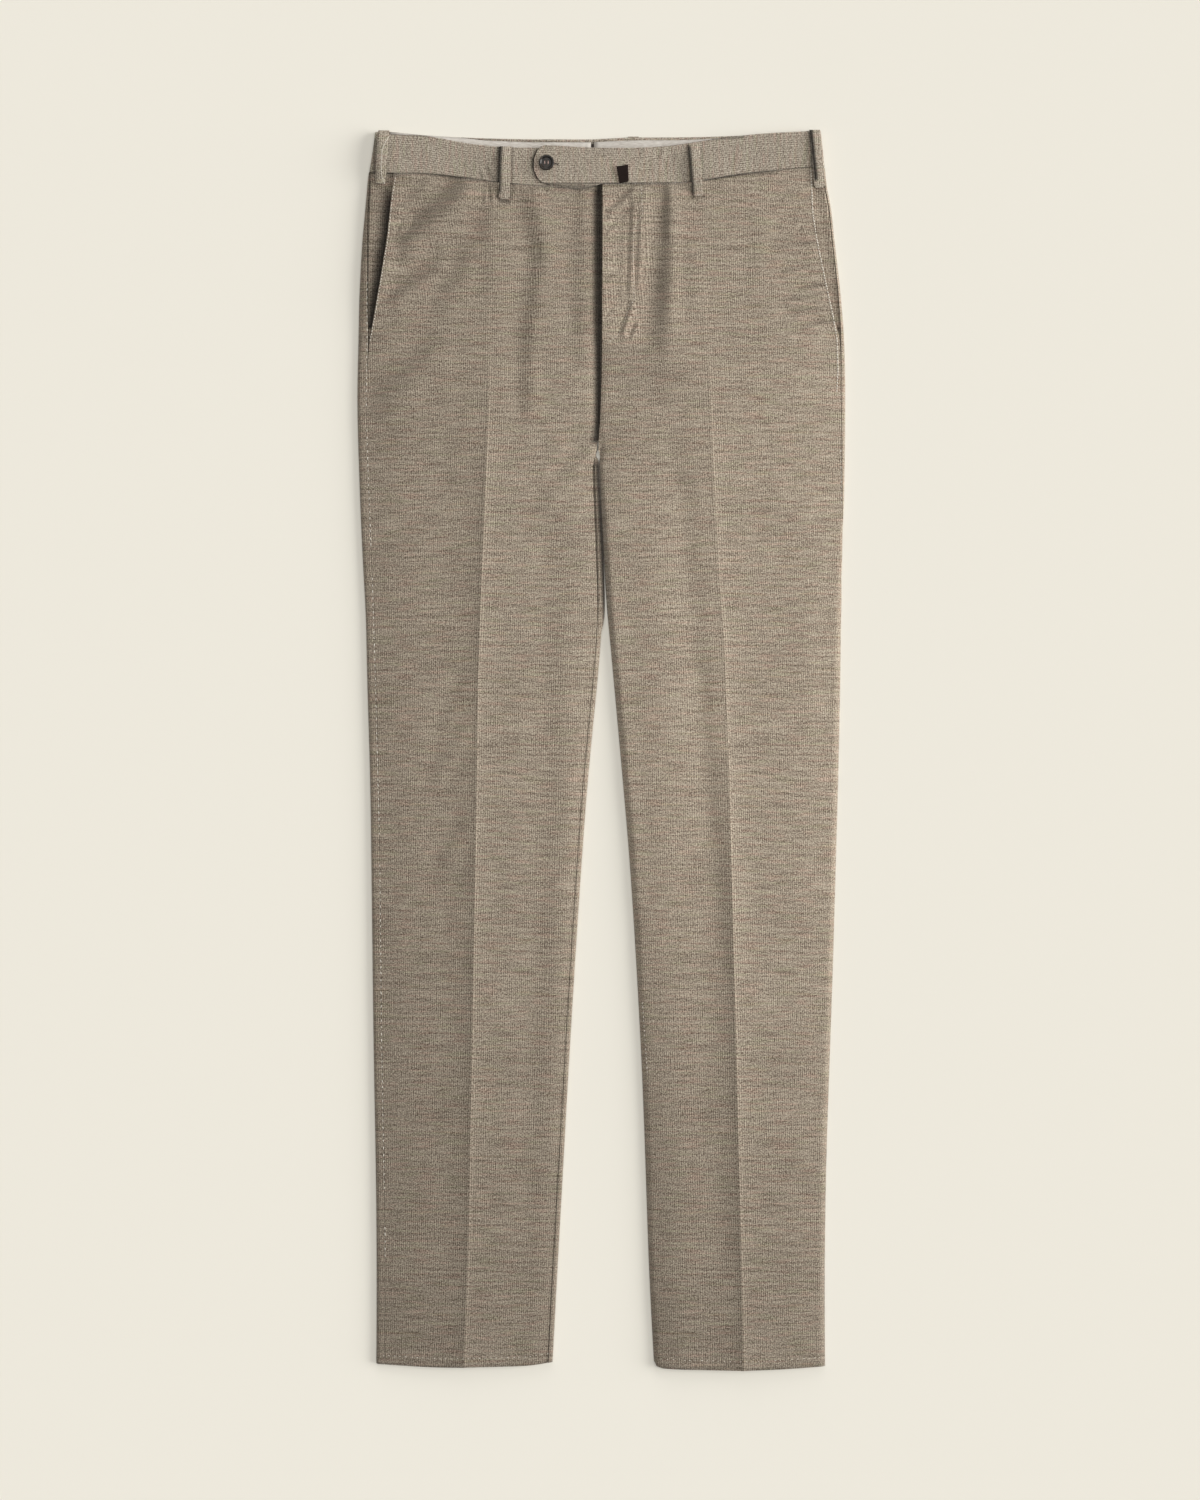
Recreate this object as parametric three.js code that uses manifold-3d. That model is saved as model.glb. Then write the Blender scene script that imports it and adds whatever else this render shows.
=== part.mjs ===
import * as THREE from 'three';
import { mergeVertices } from 'three/addons/utils/BufferGeometryUtils.js';
import Module from 'manifold-3d';

// Corduroy trousers, buttoned and laid out flat with the front up and the waist toward +Y.
// Millimetres, +Z up, the underside on Z = 0. Right and left are the wearer's, so the right leg is at -X.

// Driving sizes
const SEAM_GAP = 0.3;
const CLOTH = 1.6;
const FOLD_RADIUS = 2.6;
const CROWN = 1.8;
const CROWN_RUN = 34;
const BAND_CLOTH = 2.0;
const BAND_HEIGHT = 36.4;
const BAND_FOLD_RADIUS = 3.75;
const BAND_TOP = 2 * BAND_FOLD_RADIUS;
const CREASE_HEIGHT = 0.9;
const CREASE_WIDTH = 3.5;
const CROTCH_Y = 285;
const FLY_BOTTOM_Y = 392;
const UNDERLAP = 28;
const CENTRE_BACK_X = -7.3;
const BACK_LOOP_THICKNESS = 1.0;

// Outline of the garment seen from the front, one row for each section from the waist to the hem.
// Each leg has its outer edge, its inner edge below the crotch, and its pressed crease.
const rightLeg = [
  { y: 602, outer: -218.5, crease: -105.5 },
  { y: 576, outer: -221.5, crease: -105.5 },
  { y: 552, outer: -225.5, crease: -105.5 },
  { y: 533, outer: -227.5, crease: -105.5 },
  { y: 494, outer: -231.5, crease: -105.5 },
  { y: 455, outer: -234, crease: -106 },
  { y: 397, outer: -234.5, crease: -106.5 },
  { y: 339, outer: -236.2, crease: -108 },
  { y: 281, outer: -234.5, inner: -2.4, crease: -110 },
  { y: 223, outer: -232.5, inner: 0, crease: -112.5 },
  { y: 164, outer: -229.5, inner: 2.4, crease: -115 },
  { y: 130, outer: -227.5, inner: 3, crease: -116.5 },
  { y: 106, outer: -227, inner: 1.5, crease: -117 },
  { y: 67, outer: -226.5, inner: -1.5, crease: -118 },
  { y: -10, outer: -223.5, inner: -10, crease: -119.5 },
  { y: -88, outer: -222.5, inner: -16, crease: -120.5 },
  { y: -165, outer: -221.5, inner: -21, crease: -122 },
  { y: -282, outer: -220.5, inner: -28.5, crease: -124 },
  { y: -360, outer: -218.5, inner: -32.5, crease: -125.5 },
  { y: -476, outer: -216.8, inner: -39.3, crease: -127.5 },
  { y: -595, outer: -217.5, inner: -45.5, crease: -132 },
];
const leftLeg = [
  { y: 602, outer: 214.5, crease: 101 },
  { y: 576, outer: 217, crease: 101 },
  { y: 552, outer: 219, crease: 101 },
  { y: 533, outer: 221.5, crease: 101 },
  { y: 494, outer: 225.5, crease: 101 },
  { y: 455, outer: 230.5, crease: 102.5 },
  { y: 397, outer: 235.5, crease: 104.5 },
  { y: 339, outer: 236.2, crease: 107 },
  { y: 281, outer: 235.5, inner: -2, crease: 109.5 },
  { y: 223, outer: 234.5, inner: 1, crease: 112.5 },
  { y: 164, outer: 232.5, inner: 4.6, crease: 115.5 },
  { y: 130, outer: 231.5, inner: 6.8, crease: 118.5 },
  { y: 106, outer: 231, inner: 9.5, crease: 120.5 },
  { y: 67, outer: 230.8, inner: 13, crease: 122.5 },
  { y: -10, outer: 229.5, inner: 20, crease: 124.5 },
  { y: -88, outer: 227.5, inner: 27.5, crease: 126.5 },
  { y: -165, outer: 226.5, inner: 32.5, crease: 128.5 },
  { y: -282, outer: 223.5, inner: 39.3, crease: 131.5 },
  { y: -360, outer: 220.5, inner: 43, crease: 133.5 },
  { y: -476, outer: 218, inner: 45.5, crease: 136.3 },
  { y: -595, outer: 218.7, inner: 52, crease: 139.2 },
];

// Centre front line, and how far in from the outer edge each side seam shows on top.
// A distance under zero is a seam that has gone round the fold to the underside.
const centreFront = [
  { y: 602, x: 2.4 },
  { y: 383, x: 1.9 },
  { y: 322, x: 0.5 },
  { y: 301, x: -2 },
  { y: 281, x: -2.2 },
];
const rightSideSeam = [
  { y: 602, x: 1.6 },
  { y: 533, x: 2 },
  { y: 480, x: 7 },
  { y: 397, x: 9.5 },
  { y: 300, x: 8.6 },
  { y: -595, x: 8.3 },
];
const leftSideSeam = [
  { y: 602, x: 2 },
  { y: 420, x: 3 },
  { y: 394, x: 4.2 },
  { y: 345, x: 4.8 },
  { y: 240, x: 2.3 },
  { y: 190, x: -1 },
  { y: 150, x: -4 },
  { y: -595, x: -5 },
];
const RIGHT_INSEAM_DISTANCE = 5;
const LEFT_INSEAM_DISTANCE = -5;

// Slant pocket mouths, from the waistband to the side seam
const rightPocketMouth = [
  { y: 560, x: -199.3 },
  { y: 534, x: -202.2 },
  { y: 498, x: -206.1 },
  { y: 462, x: -211.9 },
  { y: 420, x: -219.2 },
  { y: 393, x: -225 },
];
const leftPocketMouth = [
  { y: 566, x: 204.4 },
  { y: 525, x: 206.6 },
  { y: 491, x: 211.6 },
  { y: 471, x: 215.8 },
  { y: 451, x: 220.1 },
  { y: 430, x: 225 },
  { y: 409, x: 229.6 },
  { y: 394, x: 231.3 },
];
const FACING_TUCK = 22;
const RIGHT_MOUTH_LIFT = 1.9;
const LEFT_MOUTH_LIFT = 1.1;

// Waist edges: upper edges of the back and front waistband, and the seam below the front one
const backWaistEdge = [
  { x: -219, y: 600.5 },
  { x: -210, y: 601.4 },
  { x: -183, y: 597 },
  { x: -134, y: 594.5 },
  { x: -61, y: 592.8 },
  { x: -9, y: 593 },
  { x: 25, y: 594.6 },
  { x: 131, y: 595.5 },
  { x: 189, y: 600 },
  { x: 214.5, y: 601.5 },
];
const rightBandUpper = [
  { x: -219, y: 598.5 },
  { x: -205, y: 597.2 },
  { x: -168, y: 596 },
  { x: -131, y: 588.3 },
  { x: -96, y: 584.4 },
  { x: 30, y: 583 },
];
const rightBandLower = [
  { x: -226, y: 560 },
  { x: -165, y: 559.2 },
  { x: -131, y: 555.3 },
  { x: -104, y: 551.4 },
  { x: -44, y: 545.6 },
  { x: -12, y: 544.2 },
  { x: 1, y: 549.8 },
  { x: 30, y: 549.8 },
];
const leftBandUpper = [
  { x: -53, y: 586.4 },
  { x: -9, y: 583.5 },
  { x: 33.5, y: 583.5 },
  { x: 67.5, y: 585.4 },
  { x: 102.5, y: 591.2 },
  { x: 131, y: 595 },
  { x: 156, y: 597.7 },
  { x: 214.5, y: 600.8 },
];
const leftBandLower = [
  { x: -53, y: 549.2 },
  { x: 3, y: 549.4 },
  { x: 85, y: 550.4 },
  { x: 136, y: 558.9 },
  { x: 168, y: 562 },
  { x: 208, y: 566 },
  { x: 222, y: 566.6 },
];
const TAB_SHOULDER_X = -53;
const TAB_TIP_X = -64;
const TAB_RAISE = 1.7;

// Lower edges of the two hems
const rightHem = [
  { x: -217.5, y: -595.6 },
  { x: -155, y: -599 },
  { x: -70, y: -597.6 },
  { x: -44, y: -593.6 },
];
const leftHem = [
  { x: 52, y: -592.5 },
  { x: 56, y: -599.6 },
  { x: 78, y: -600.6 },
  { x: 130, y: -601.9 },
  { x: 172, y: -600.9 },
  { x: 218.7, y: -598 },
];

// The largest soft folds of the front, each a straight trough or ridge from one end to the other.
// Height under zero is a trough.
const folds = [
  { leg: 'left', fromX: 65.5, fromY: 546, toX: 60, toY: 398, height: -0.9, width: 9 },
  { leg: 'left', fromX: 44, fromY: 540, toX: 45, toY: 420, height: 0.7, width: 9 },
  { leg: 'left', fromX: 31, fromY: 436, toX: 18, toY: 400, height: -0.7, width: 8 },
  { leg: 'left', fromX: 34, fromY: 540, toX: 8, toY: 516, height: -0.6, width: 7 },
  { leg: 'left', fromX: 34, fromY: 488, toX: 12, toY: 470, height: -0.5, width: 7 },
  { leg: 'left', fromX: 198, fromY: 502, toX: 168, toY: 496, height: -0.6, width: 8 },
  { leg: 'left', fromX: 214, fromY: 446, toX: 186, toY: 438, height: -0.5, width: 8 },
  { leg: 'left', fromX: 26, fromY: 286, toX: 70, toY: 250, height: -0.6, width: 14 },
  { leg: 'right', fromX: -64, fromY: 516, toX: -76, toY: 366, height: -0.9, width: 12 },
  { leg: 'right', fromX: -14, fromY: 278, toX: -44, toY: 262, height: -1.0, width: 10 },
  { leg: 'right', fromX: -16, fromY: 340, toX: -58, toY: 300, height: -0.6, width: 14 },
  { leg: 'right', fromX: -150, fromY: 500, toX: -170, toY: 420, height: -0.6, width: 16 },
];

// Rows of the leg panels between the waist seam and the hem
const panelRows = [
  522, 494, 466, 436, 410, 384, 350, 318, 292, 278, 258, 228, 195, 165, 135, 110, 60,
  -20, -110, -200, -300, -400, -500, -584,
];

const clothColour = 0x998874;
const materials = {
  cloth: new THREE.MeshStandardMaterial({ color: clothColour, roughness: 0.94, metalness: 0 }),
  band: new THREE.MeshStandardMaterial({ color: 0x9d9082, roughness: 0.94, metalness: 0 }),
  lining: new THREE.MeshStandardMaterial({ color: 0xb6aea4, roughness: 0.75, metalness: 0 }),
  keeper: new THREE.MeshStandardMaterial({ color: 0x2a211c, roughness: 0.8, metalness: 0 }),
  horn: new THREE.MeshStandardMaterial({ color: 0x2f2822, roughness: 0.3, metalness: 0 }),
};

const group = new THREE.Group();

// Small helpers for tables and soft steps
const mix = (a, b, t) => a + (b - a) * t;
const clamp = (t) => Math.min(1, Math.max(0, t));
const smooth = (t) => clamp(t) ** 2 * (3 - 2 * clamp(t));

function lookUp(table, key, at, column) {
  const rows = table.filter((row) => row[column] !== undefined);
  const rising = rows[rows.length - 1][key] > rows[0][key];
  const ordered = rising ? rows : [...rows].reverse();
  if (at <= ordered[0][key]) return ordered[0][column];
  const last = ordered[ordered.length - 1];
  if (at >= last[key]) return last[column];
  const next = ordered.findIndex((row) => row[key] > at);
  const low = ordered[next - 1];
  const high = ordered[next];
  return mix(low[column], high[column], (at - low[key]) / (high[key] - low[key]));
}
const lineX = (line, y) => lookUp(line, 'y', y, 'x');
const edgeY = (edge, x) => lookUp(edge, 'x', x, 'y');

// One closed wall of cloth from a grid of outer points, each with the direction that faces out
function addCloth(name, material, grid, thickness) {
  const rowCount = grid.length;
  const columnCount = grid[0].length;
  const positions = [];
  for (const depth of [0, thickness]) {
    for (const row of grid) {
      for (const { x, y, z, outX = 0, outZ = 1 } of row) {
        positions.push(x - outX * depth, y, z - outZ * depth);
      }
    }
  }
  const outer = (r, c) => r * columnCount + c;
  const inner = (r, c) => rowCount * columnCount + r * columnCount + c;
  const index = [];
  const quad = (a, b, c, d) => index.push(a, b, c, a, c, d);
  for (let r = 0; r + 1 < rowCount; r++) {
    for (let c = 0; c + 1 < columnCount; c++) {
      quad(outer(r, c), outer(r + 1, c), outer(r + 1, c + 1), outer(r, c + 1));
      quad(inner(r, c), inner(r, c + 1), inner(r + 1, c + 1), inner(r + 1, c));
    }
  }
  for (let r = 0; r + 1 < rowCount; r++) {
    quad(outer(r, 0), inner(r, 0), inner(r + 1, 0), outer(r + 1, 0));
    const end = columnCount - 1;
    quad(outer(r, end), outer(r + 1, end), inner(r + 1, end), inner(r, end));
  }
  for (let c = 0; c + 1 < columnCount; c++) {
    quad(outer(0, c), outer(0, c + 1), inner(0, c + 1), inner(0, c));
    const end = rowCount - 1;
    quad(outer(end, c), inner(end, c), inner(end, c + 1), outer(end, c + 1));
  }
  if (signedVolume(positions, index) < 0) index.reverse();
  const geometry = new THREE.BufferGeometry();
  geometry.setAttribute('position', new THREE.Float32BufferAttribute(positions, 3));
  geometry.setIndex(index);
  addMesh(name, geometry, material);
}

function signedVolume(positions, index) {
  const corner = (i) => new THREE.Vector3().fromArray(positions, 3 * index[i]);
  let total = 0;
  for (let i = 0; i < index.length; i += 3) {
    total += corner(i).dot(corner(i + 1).cross(corner(i + 2)));
  }
  return total;
}

function addMesh(name, geometry, material) {
  geometry.computeVertexNormals();
  const mesh = new THREE.Mesh(geometry, material);
  mesh.name = name;
  group.add(mesh);
  return mesh;
}

// The two halves of the garment. Inward is the way from the outer edge to the centre.
const halves = {
  right: {
    side: 'right',
    inward: 1,
    outer: (y) => lookUp(rightLeg, 'y', y, 'outer'),
    inner: (y) => lookUp(rightLeg, 'y', y, 'inner'),
    crease: (y) => lookUp(rightLeg, 'y', y, 'crease'),
    sideSeam: rightSideSeam,
    inseamDistance: RIGHT_INSEAM_DISTANCE,
    mouth: rightPocketMouth,
    mouthLift: RIGHT_MOUTH_LIFT,
    bandUpper: rightBandUpper,
    bandLower: rightBandLower,
    hem: rightHem,
  },
  left: {
    side: 'left',
    inward: -1,
    outer: (y) => lookUp(leftLeg, 'y', y, 'outer'),
    inner: (y) => lookUp(leftLeg, 'y', y, 'inner'),
    crease: (y) => lookUp(leftLeg, 'y', y, 'crease'),
    sideSeam: leftSideSeam,
    inseamDistance: LEFT_INSEAM_DISTANCE,
    mouth: leftPocketMouth,
    mouthLift: LEFT_MOUTH_LIFT,
    bandUpper: leftBandUpper,
    bandLower: leftBandLower,
    hem: leftHem,
  },
};

// Belt loops: centre line from the top end to the bottom end
const LOOP_WIDTH = 10.5;
const LOOP_THICKNESS = 1.3;
const beltLoops = [
  { name: 'belt_loop_front_right', topX: -91.5, topY: 585, bottomX: -92.7, bottomY: 534, arch: 1.4 },
  { name: 'belt_loop_front_left', topX: 91, topY: 587.5, bottomX: 95, bottomY: 537, arch: 1.2 },
  { name: 'belt_loop_side_right', topX: -209.5, topY: 600.5, bottomX: -213, bottomY: 549, arch: 1.0 },
  { name: 'belt_loop_side_left', topX: 208, topY: 601, bottomX: 213, bottomY: 545, arch: 1.0 },
];
const backLoops = [
  { name: 'belt_loop_back_right', x: -47, topY: 593, bottomY: 541 },
  { name: 'belt_loop_back_left', x: 32.5, topY: 596, bottomY: 543.5 },
];

// The back layers ride up over the belt loops that lie under them
function backLift(x, y) {
  let lift = 0;
  for (const loop of backLoops) {
    const across = smooth((24 - Math.abs(x - loop.x)) / 14);
    const along = smooth((y - loop.bottomY + 46) / 26);
    lift = Math.max(lift, across * along);
  }
  return lift * (BACK_LOOP_THICKNESS + SEAM_GAP);
}

// Height of one fold at a point: full along its length and gone at its ends and sides
function foldHeight(fold, x, y) {
  const length = Math.hypot(fold.toX - fold.fromX, fold.toY - fold.fromY);
  const alongX = (fold.toX - fold.fromX) / length;
  const alongY = (fold.toY - fold.fromY) / length;
  const along = (x - fold.fromX) * alongX + (y - fold.fromY) * alongY;
  const across = (x - fold.fromX) * alongY - (y - fold.fromY) * alongX;
  const ends = smooth((along + 6) / 14) * smooth((length + 6 - along) / 24);
  return fold.height * ends * Math.exp(-((across / fold.width) ** 2));
}

// How the upper surface steps at the fly: the right front dips to run under the left one's raised edge
const FLY_STEP = {
  dip: 1.4,
  dipRun: 26,
  crotchDip: 0.5,
  tuckDip: 0.8,
  tuckRun: 8,
  raise: 0.7,
  raiseRun: 46,
};
const INNER_CROWN_RUN = 22;
const CROTCH_BLEND = 40;
const CREASE_TOP_Y = 395;
const CREASE_FADE = 45;
const MOUTH_LIFT_RUN = 26;

// Height of the garment's upper surface over a point of one half
function topHeight(half, x, y) {
  const fromOuter = Math.abs(x - half.outer(y)) - FOLD_RADIUS;
  const fromInner = Math.abs(x - half.inner(y)) - FOLD_RADIUS;
  const open = smooth((y - CROTCH_Y) / CROTCH_BLEND);
  const innerCrown = mix(smooth(fromInner / INNER_CROWN_RUN), 1, open);
  let height = 2 * FOLD_RADIUS + CROWN * smooth(fromOuter / CROWN_RUN) * innerCrown;
  const fromCrease = (x - half.crease(y)) / CREASE_WIDTH;
  const creaseFade = smooth((CREASE_TOP_Y - y) / CREASE_FADE);
  height += CREASE_HEIGHT * creaseFade / (1 + fromCrease ** 2);
  for (const fold of folds) {
    if (fold.leg === half.side) height += foldHeight(fold, x, y);
  }
  const fly = lineX(centreFront, y);
  if (half.side === 'right') {
    const depth = mix(FLY_STEP.crotchDip, FLY_STEP.dip, smooth((y - 300) / 80));
    const fade = smooth((y - CROTCH_Y - 5) / 20);
    height -= depth * fade * smooth((x - fly + FLY_STEP.dipRun) / 24);
    height -= FLY_STEP.tuckDip * smooth((x - fly + 2) / FLY_STEP.tuckRun);
  } else {
    const raise = FLY_STEP.raise * smooth((y - 330) / 50);
    height += raise * smooth((FLY_STEP.raiseRun - (x - fly)) / 30);
  }
  const mouthLow = half.mouth[half.mouth.length - 1].y;
  if (y > mouthLow - 6) {
    const fromMouth = (x - lineX(half.mouth, y)) * half.inward;
    const along = smooth((y - mouthLow) / 40) * (1 - 0.55 * smooth((y - 490) / 60));
    height += half.mouthLift * along * smooth((MOUTH_LIFT_RUN - fromMouth) / 24);
  }
  return height;
}

// Distance round a fold, from its outermost line, of a point seen a given way in from the edge
function overFold(distance, radius) {
  if (distance >= radius) return distance + radius * (Math.PI / 2 - 1);
  if (distance <= -radius) return distance - radius * (Math.PI / 2 - 1);
  return Math.sign(distance) * radius * Math.acos(1 - Math.abs(distance) / radius);
}

// A seam on a fold stands a little wider, because the wall's inner face is shorter there
const seamGap = (distance) => (Math.abs(distance) < 5 ? 2 * SEAM_GAP : SEAM_GAP);

// How far a point has gone round to the underside: 0 on top and 1 below
const underShare = ({ outZ = 1 }) => (1 - outZ) / 2;

// A point on the flattened tube: round the fold at one edge, over the top for a positive distance
function ringPoint(edge, inward, radius, distance, y, topZ, bottomZ) {
  const quarter = (radius * Math.PI) / 2;
  if (Math.abs(distance) <= quarter) {
    const angle = distance / radius;
    const x = edge + inward * radius * (1 - Math.cos(angle));
    const outX = -inward * Math.cos(angle);
    return { x, y, z: radius * (1 + Math.sin(angle)), outX, outZ: Math.sin(angle) };
  }
  const x = edge + inward * (radius + Math.abs(distance) - quarter);
  if (distance > 0) return { x, y, z: topZ(x, y), outZ: 1 };
  return { x, y, z: bottomZ(x, y), outZ: -1 };
}

const legPoint = (half, edgeName, distance, y) => {
  const isOuter = edgeName === 'outer';
  const inward = isOuter ? half.inward : -half.inward;
  const topZ = (x, yy) => topHeight(half, x, yy);
  return ringPoint(half[edgeName](y), inward, FOLD_RADIUS, distance, y, topZ, backLift);
};

// Row height at a point: the waist seam, a straight row, or the hem.
// The seam stands wider where it turns round the side, because the waistband's fold is larger.
const SIDE_EASE = 1.0;
function rowY(half, row, x, under) {
  if (row === 'waist') {
    const front = edgeY(half.bandLower, x);
    const back = edgeY(backWaistEdge, x) - BAND_HEIGHT;
    const turning = under > 0 ? SIDE_EASE * smooth((Math.abs(x) - 180) / 30) : 0;
    return mix(front, back, under) - SEAM_GAP - turning;
  }
  return row === 'hem' ? edgeY(half.hem, x) : row;
}
const rowNames = ['waist', ...panelRows, 'hem'];
const nominalY = { waist: 553, hem: -597 };
const rowGuide = (row) => nominalY[row] ?? row;

// Shares of the way along a stretch of columns
const steps = (count, withEnd = false) => {
  const shares = Array.from({ length: count }, (_, i) => i / count);
  return withEnd ? [...shares, 1] : shares;
};

// Front panel of one leg: from the side seam or the pocket mouth to the fly or the inseam
const JOIN = 14;
const FRONT_COLUMNS = 5;
const INNER_SHARES = [0, 0.3, 0.52, 0.78, 1];
function addFrontPanel(half) {
  const grid = rowNames.map((row) => {
    const y = rowGuide(row);
    const points = [];
    const put = (point) => points.push(point);
    const onTop = (x) => ({ x, y, z: topHeight(half, x, y) });
    const crease = half.crease(y);
    const mouthLow = half.mouth[half.mouth.length - 1].y;
    const outer = half.outer(y);
    const sideSeam = overFold(lineX(half.sideSeam, y), FOLD_RADIUS);
    const seam = sideSeam + seamGap(sideSeam);
    let joinX = outer + half.inward * JOIN;
    if (y > mouthLow) {
      const mouthX = lineX(half.mouth, y);
      joinX = mouthX + half.inward * JOIN;
      for (const share of steps(4)) put(onTop(mix(mouthX, joinX, share)));
    } else {
      const join = overFold(JOIN, FOLD_RADIUS);
      for (const share of steps(4)) put(legPoint(half, 'outer', mix(seam, join, share), y));
    }
    const nearCrease = CREASE_WIDTH * half.inward;
    for (const share of steps(FRONT_COLUMNS)) put(onTop(mix(joinX, crease - nearCrease, share)));
    for (const offset of [-1, -0.4, 0, 0.4]) put(onTop(crease + offset * nearCrease));
    const centre = lineX(centreFront, y) - (half.inward * SEAM_GAP) / 2;
    const open = y > CROTCH_Y;
    const hasUnderlap = open && half.side === 'right';
    const underlap = hasUnderlap ? UNDERLAP * smooth((y - FLY_BOTTOM_Y + 6) / 12) : 0;
    const joinInX = (open ? centre : half.inner(y)) - half.inward * JOIN;
    for (const share of steps(FRONT_COLUMNS)) put(onTop(mix(crease + nearCrease, joinInX, share)));
    if (open) {
      for (const share of INNER_SHARES) put(onTop(mix(joinInX, centre + underlap, share)));
    } else {
      const inseam = overFold(half.inseamDistance, FOLD_RADIUS);
      const end = inseam + seamGap(inseam);
      const joinIn = overFold(JOIN, FOLD_RADIUS);
      for (const share of INNER_SHARES) put(legPoint(half, 'inner', mix(joinIn, end, share), y));
    }
    for (const point of points) point.y = rowY(half, row, point.x, underShare(point));
    return points;
  });
  addCloth(`front_panel_${half.side}`, materials.cloth, grid, CLOTH);
}

// Back panel of one leg: the underside, and round both folds to the seams that show on top
const BACK_SHARES = [0, 0.25, 0.5, 0.755, 0.828, 0.91, 0.981];
function addBackPanel(half) {
  const grid = rowNames.map((row) => {
    const y = rowGuide(row);
    const points = [];
    const join = -overFold(JOIN, FOLD_RADIUS);
    const seam = overFold(lineX(half.sideSeam, y), FOLD_RADIUS);
    for (const share of steps(7)) points.push(legPoint(half, 'outer', mix(seam, join, share), y));
    const flat = (x) => ({ x, y, z: backLift(x, y), outZ: -1 });
    const outerX = half.outer(y) + half.inward * JOIN;
    const open = y > CROTCH_Y;
    const seat = smooth((y - CROTCH_Y) / 90);
    const centreX = mix(lineX(centreFront, y), CENTRE_BACK_X, seat) - (half.inward * SEAM_GAP) / 2;
    const innerX = (open ? centreX : half.inner(y)) - half.inward * JOIN;
    for (const share of BACK_SHARES) points.push(flat(mix(outerX, innerX, share)));
    if (open) {
      for (const share of steps(7, true)) points.push(flat(mix(innerX, centreX, share)));
    } else {
      const inseam = overFold(half.inseamDistance, FOLD_RADIUS);
      for (const share of steps(7, true)) {
        points.push(legPoint(half, 'inner', mix(join, inseam, share), y));
      }
    }
    for (const point of points) point.y = rowY(half, row, point.x, underShare(point));
    return points;
  });
  addCloth(`back_panel_${half.side}`, materials.cloth, grid, CLOTH);
}

// Facing behind a slant pocket: from the side seam to a tuck under the front panel
function addPocketFacing(half) {
  const mouthLow = half.mouth[half.mouth.length - 1].y;
  const facingRows = ['waist', ...panelRows.filter((y) => y > mouthLow + 2)];
  const grid = facingRows.map((row) => {
    const y = rowGuide(row);
    const seam = overFold(lineX(half.sideSeam, y), FOLD_RADIUS);
    const first = legPoint(half, 'outer', seam + 3 * SEAM_GAP, y);
    const points = [{ ...first, outX: 0, outZ: 1 }];
    const mouthX = lineX(half.mouth, y);
    const underMouth = mouthX - half.inward * 2;
    const level = (x) => topHeight(half, x, y) - CLOTH - 0.4;
    for (const share of [0.5, 1]) {
      const x = mix(first.x, underMouth, share);
      points.push({ x, y, z: mix(first.z, level(underMouth), smooth(share)) });
    }
    for (const share of [0.3, 0.65, 1]) {
      const x = mix(underMouth, mouthX + half.inward * FACING_TUCK, share);
      points.push({ x, y, z: level(x) });
    }
    for (const point of points) point.y = rowY(half, row, point.x, 0);
    return points;
  });
  addCloth(`pocket_facing_${half.side}`, materials.cloth, grid, 1.3);
}

// Waistband of one half: from the centre back under the garment, round the side and to the front end
const BAND_ROWS = [0, 0.34, 0.67, 1];
const UNDER_BAND_SHARES = [0, 0.086, 0.154, 0.232, 0.3, 0.54, 0.78];
function frontStations(half) {
  const y = rowGuide('waist');
  const mouthX = lineX(half.mouth, y);
  const joinX = mouthX + half.inward * JOIN;
  const beforeCrease = half.crease(y) - half.inward * CREASE_WIDTH;
  const afterCrease = half.crease(y) + half.inward * CREASE_WIDTH;
  const joinInX = lineX(centreFront, y) - half.inward * JOIN;
  return [
    half.outer(y) + half.inward * JOIN,
    mouthX,
    ...steps(FRONT_COLUMNS).map((share) => mix(joinX, beforeCrease, share)),
    beforeCrease,
    ...steps(FRONT_COLUMNS, true).map((share) => mix(afterCrease, joinInX, share)),
  ];
}
function bandTop(half, x) {
  if (half.side === 'left') return BAND_TOP + TAB_RAISE * smooth((72 - x) / 40);
  return BAND_TOP - 0.6 * smooth((x + 86) / 20);
}
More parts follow.
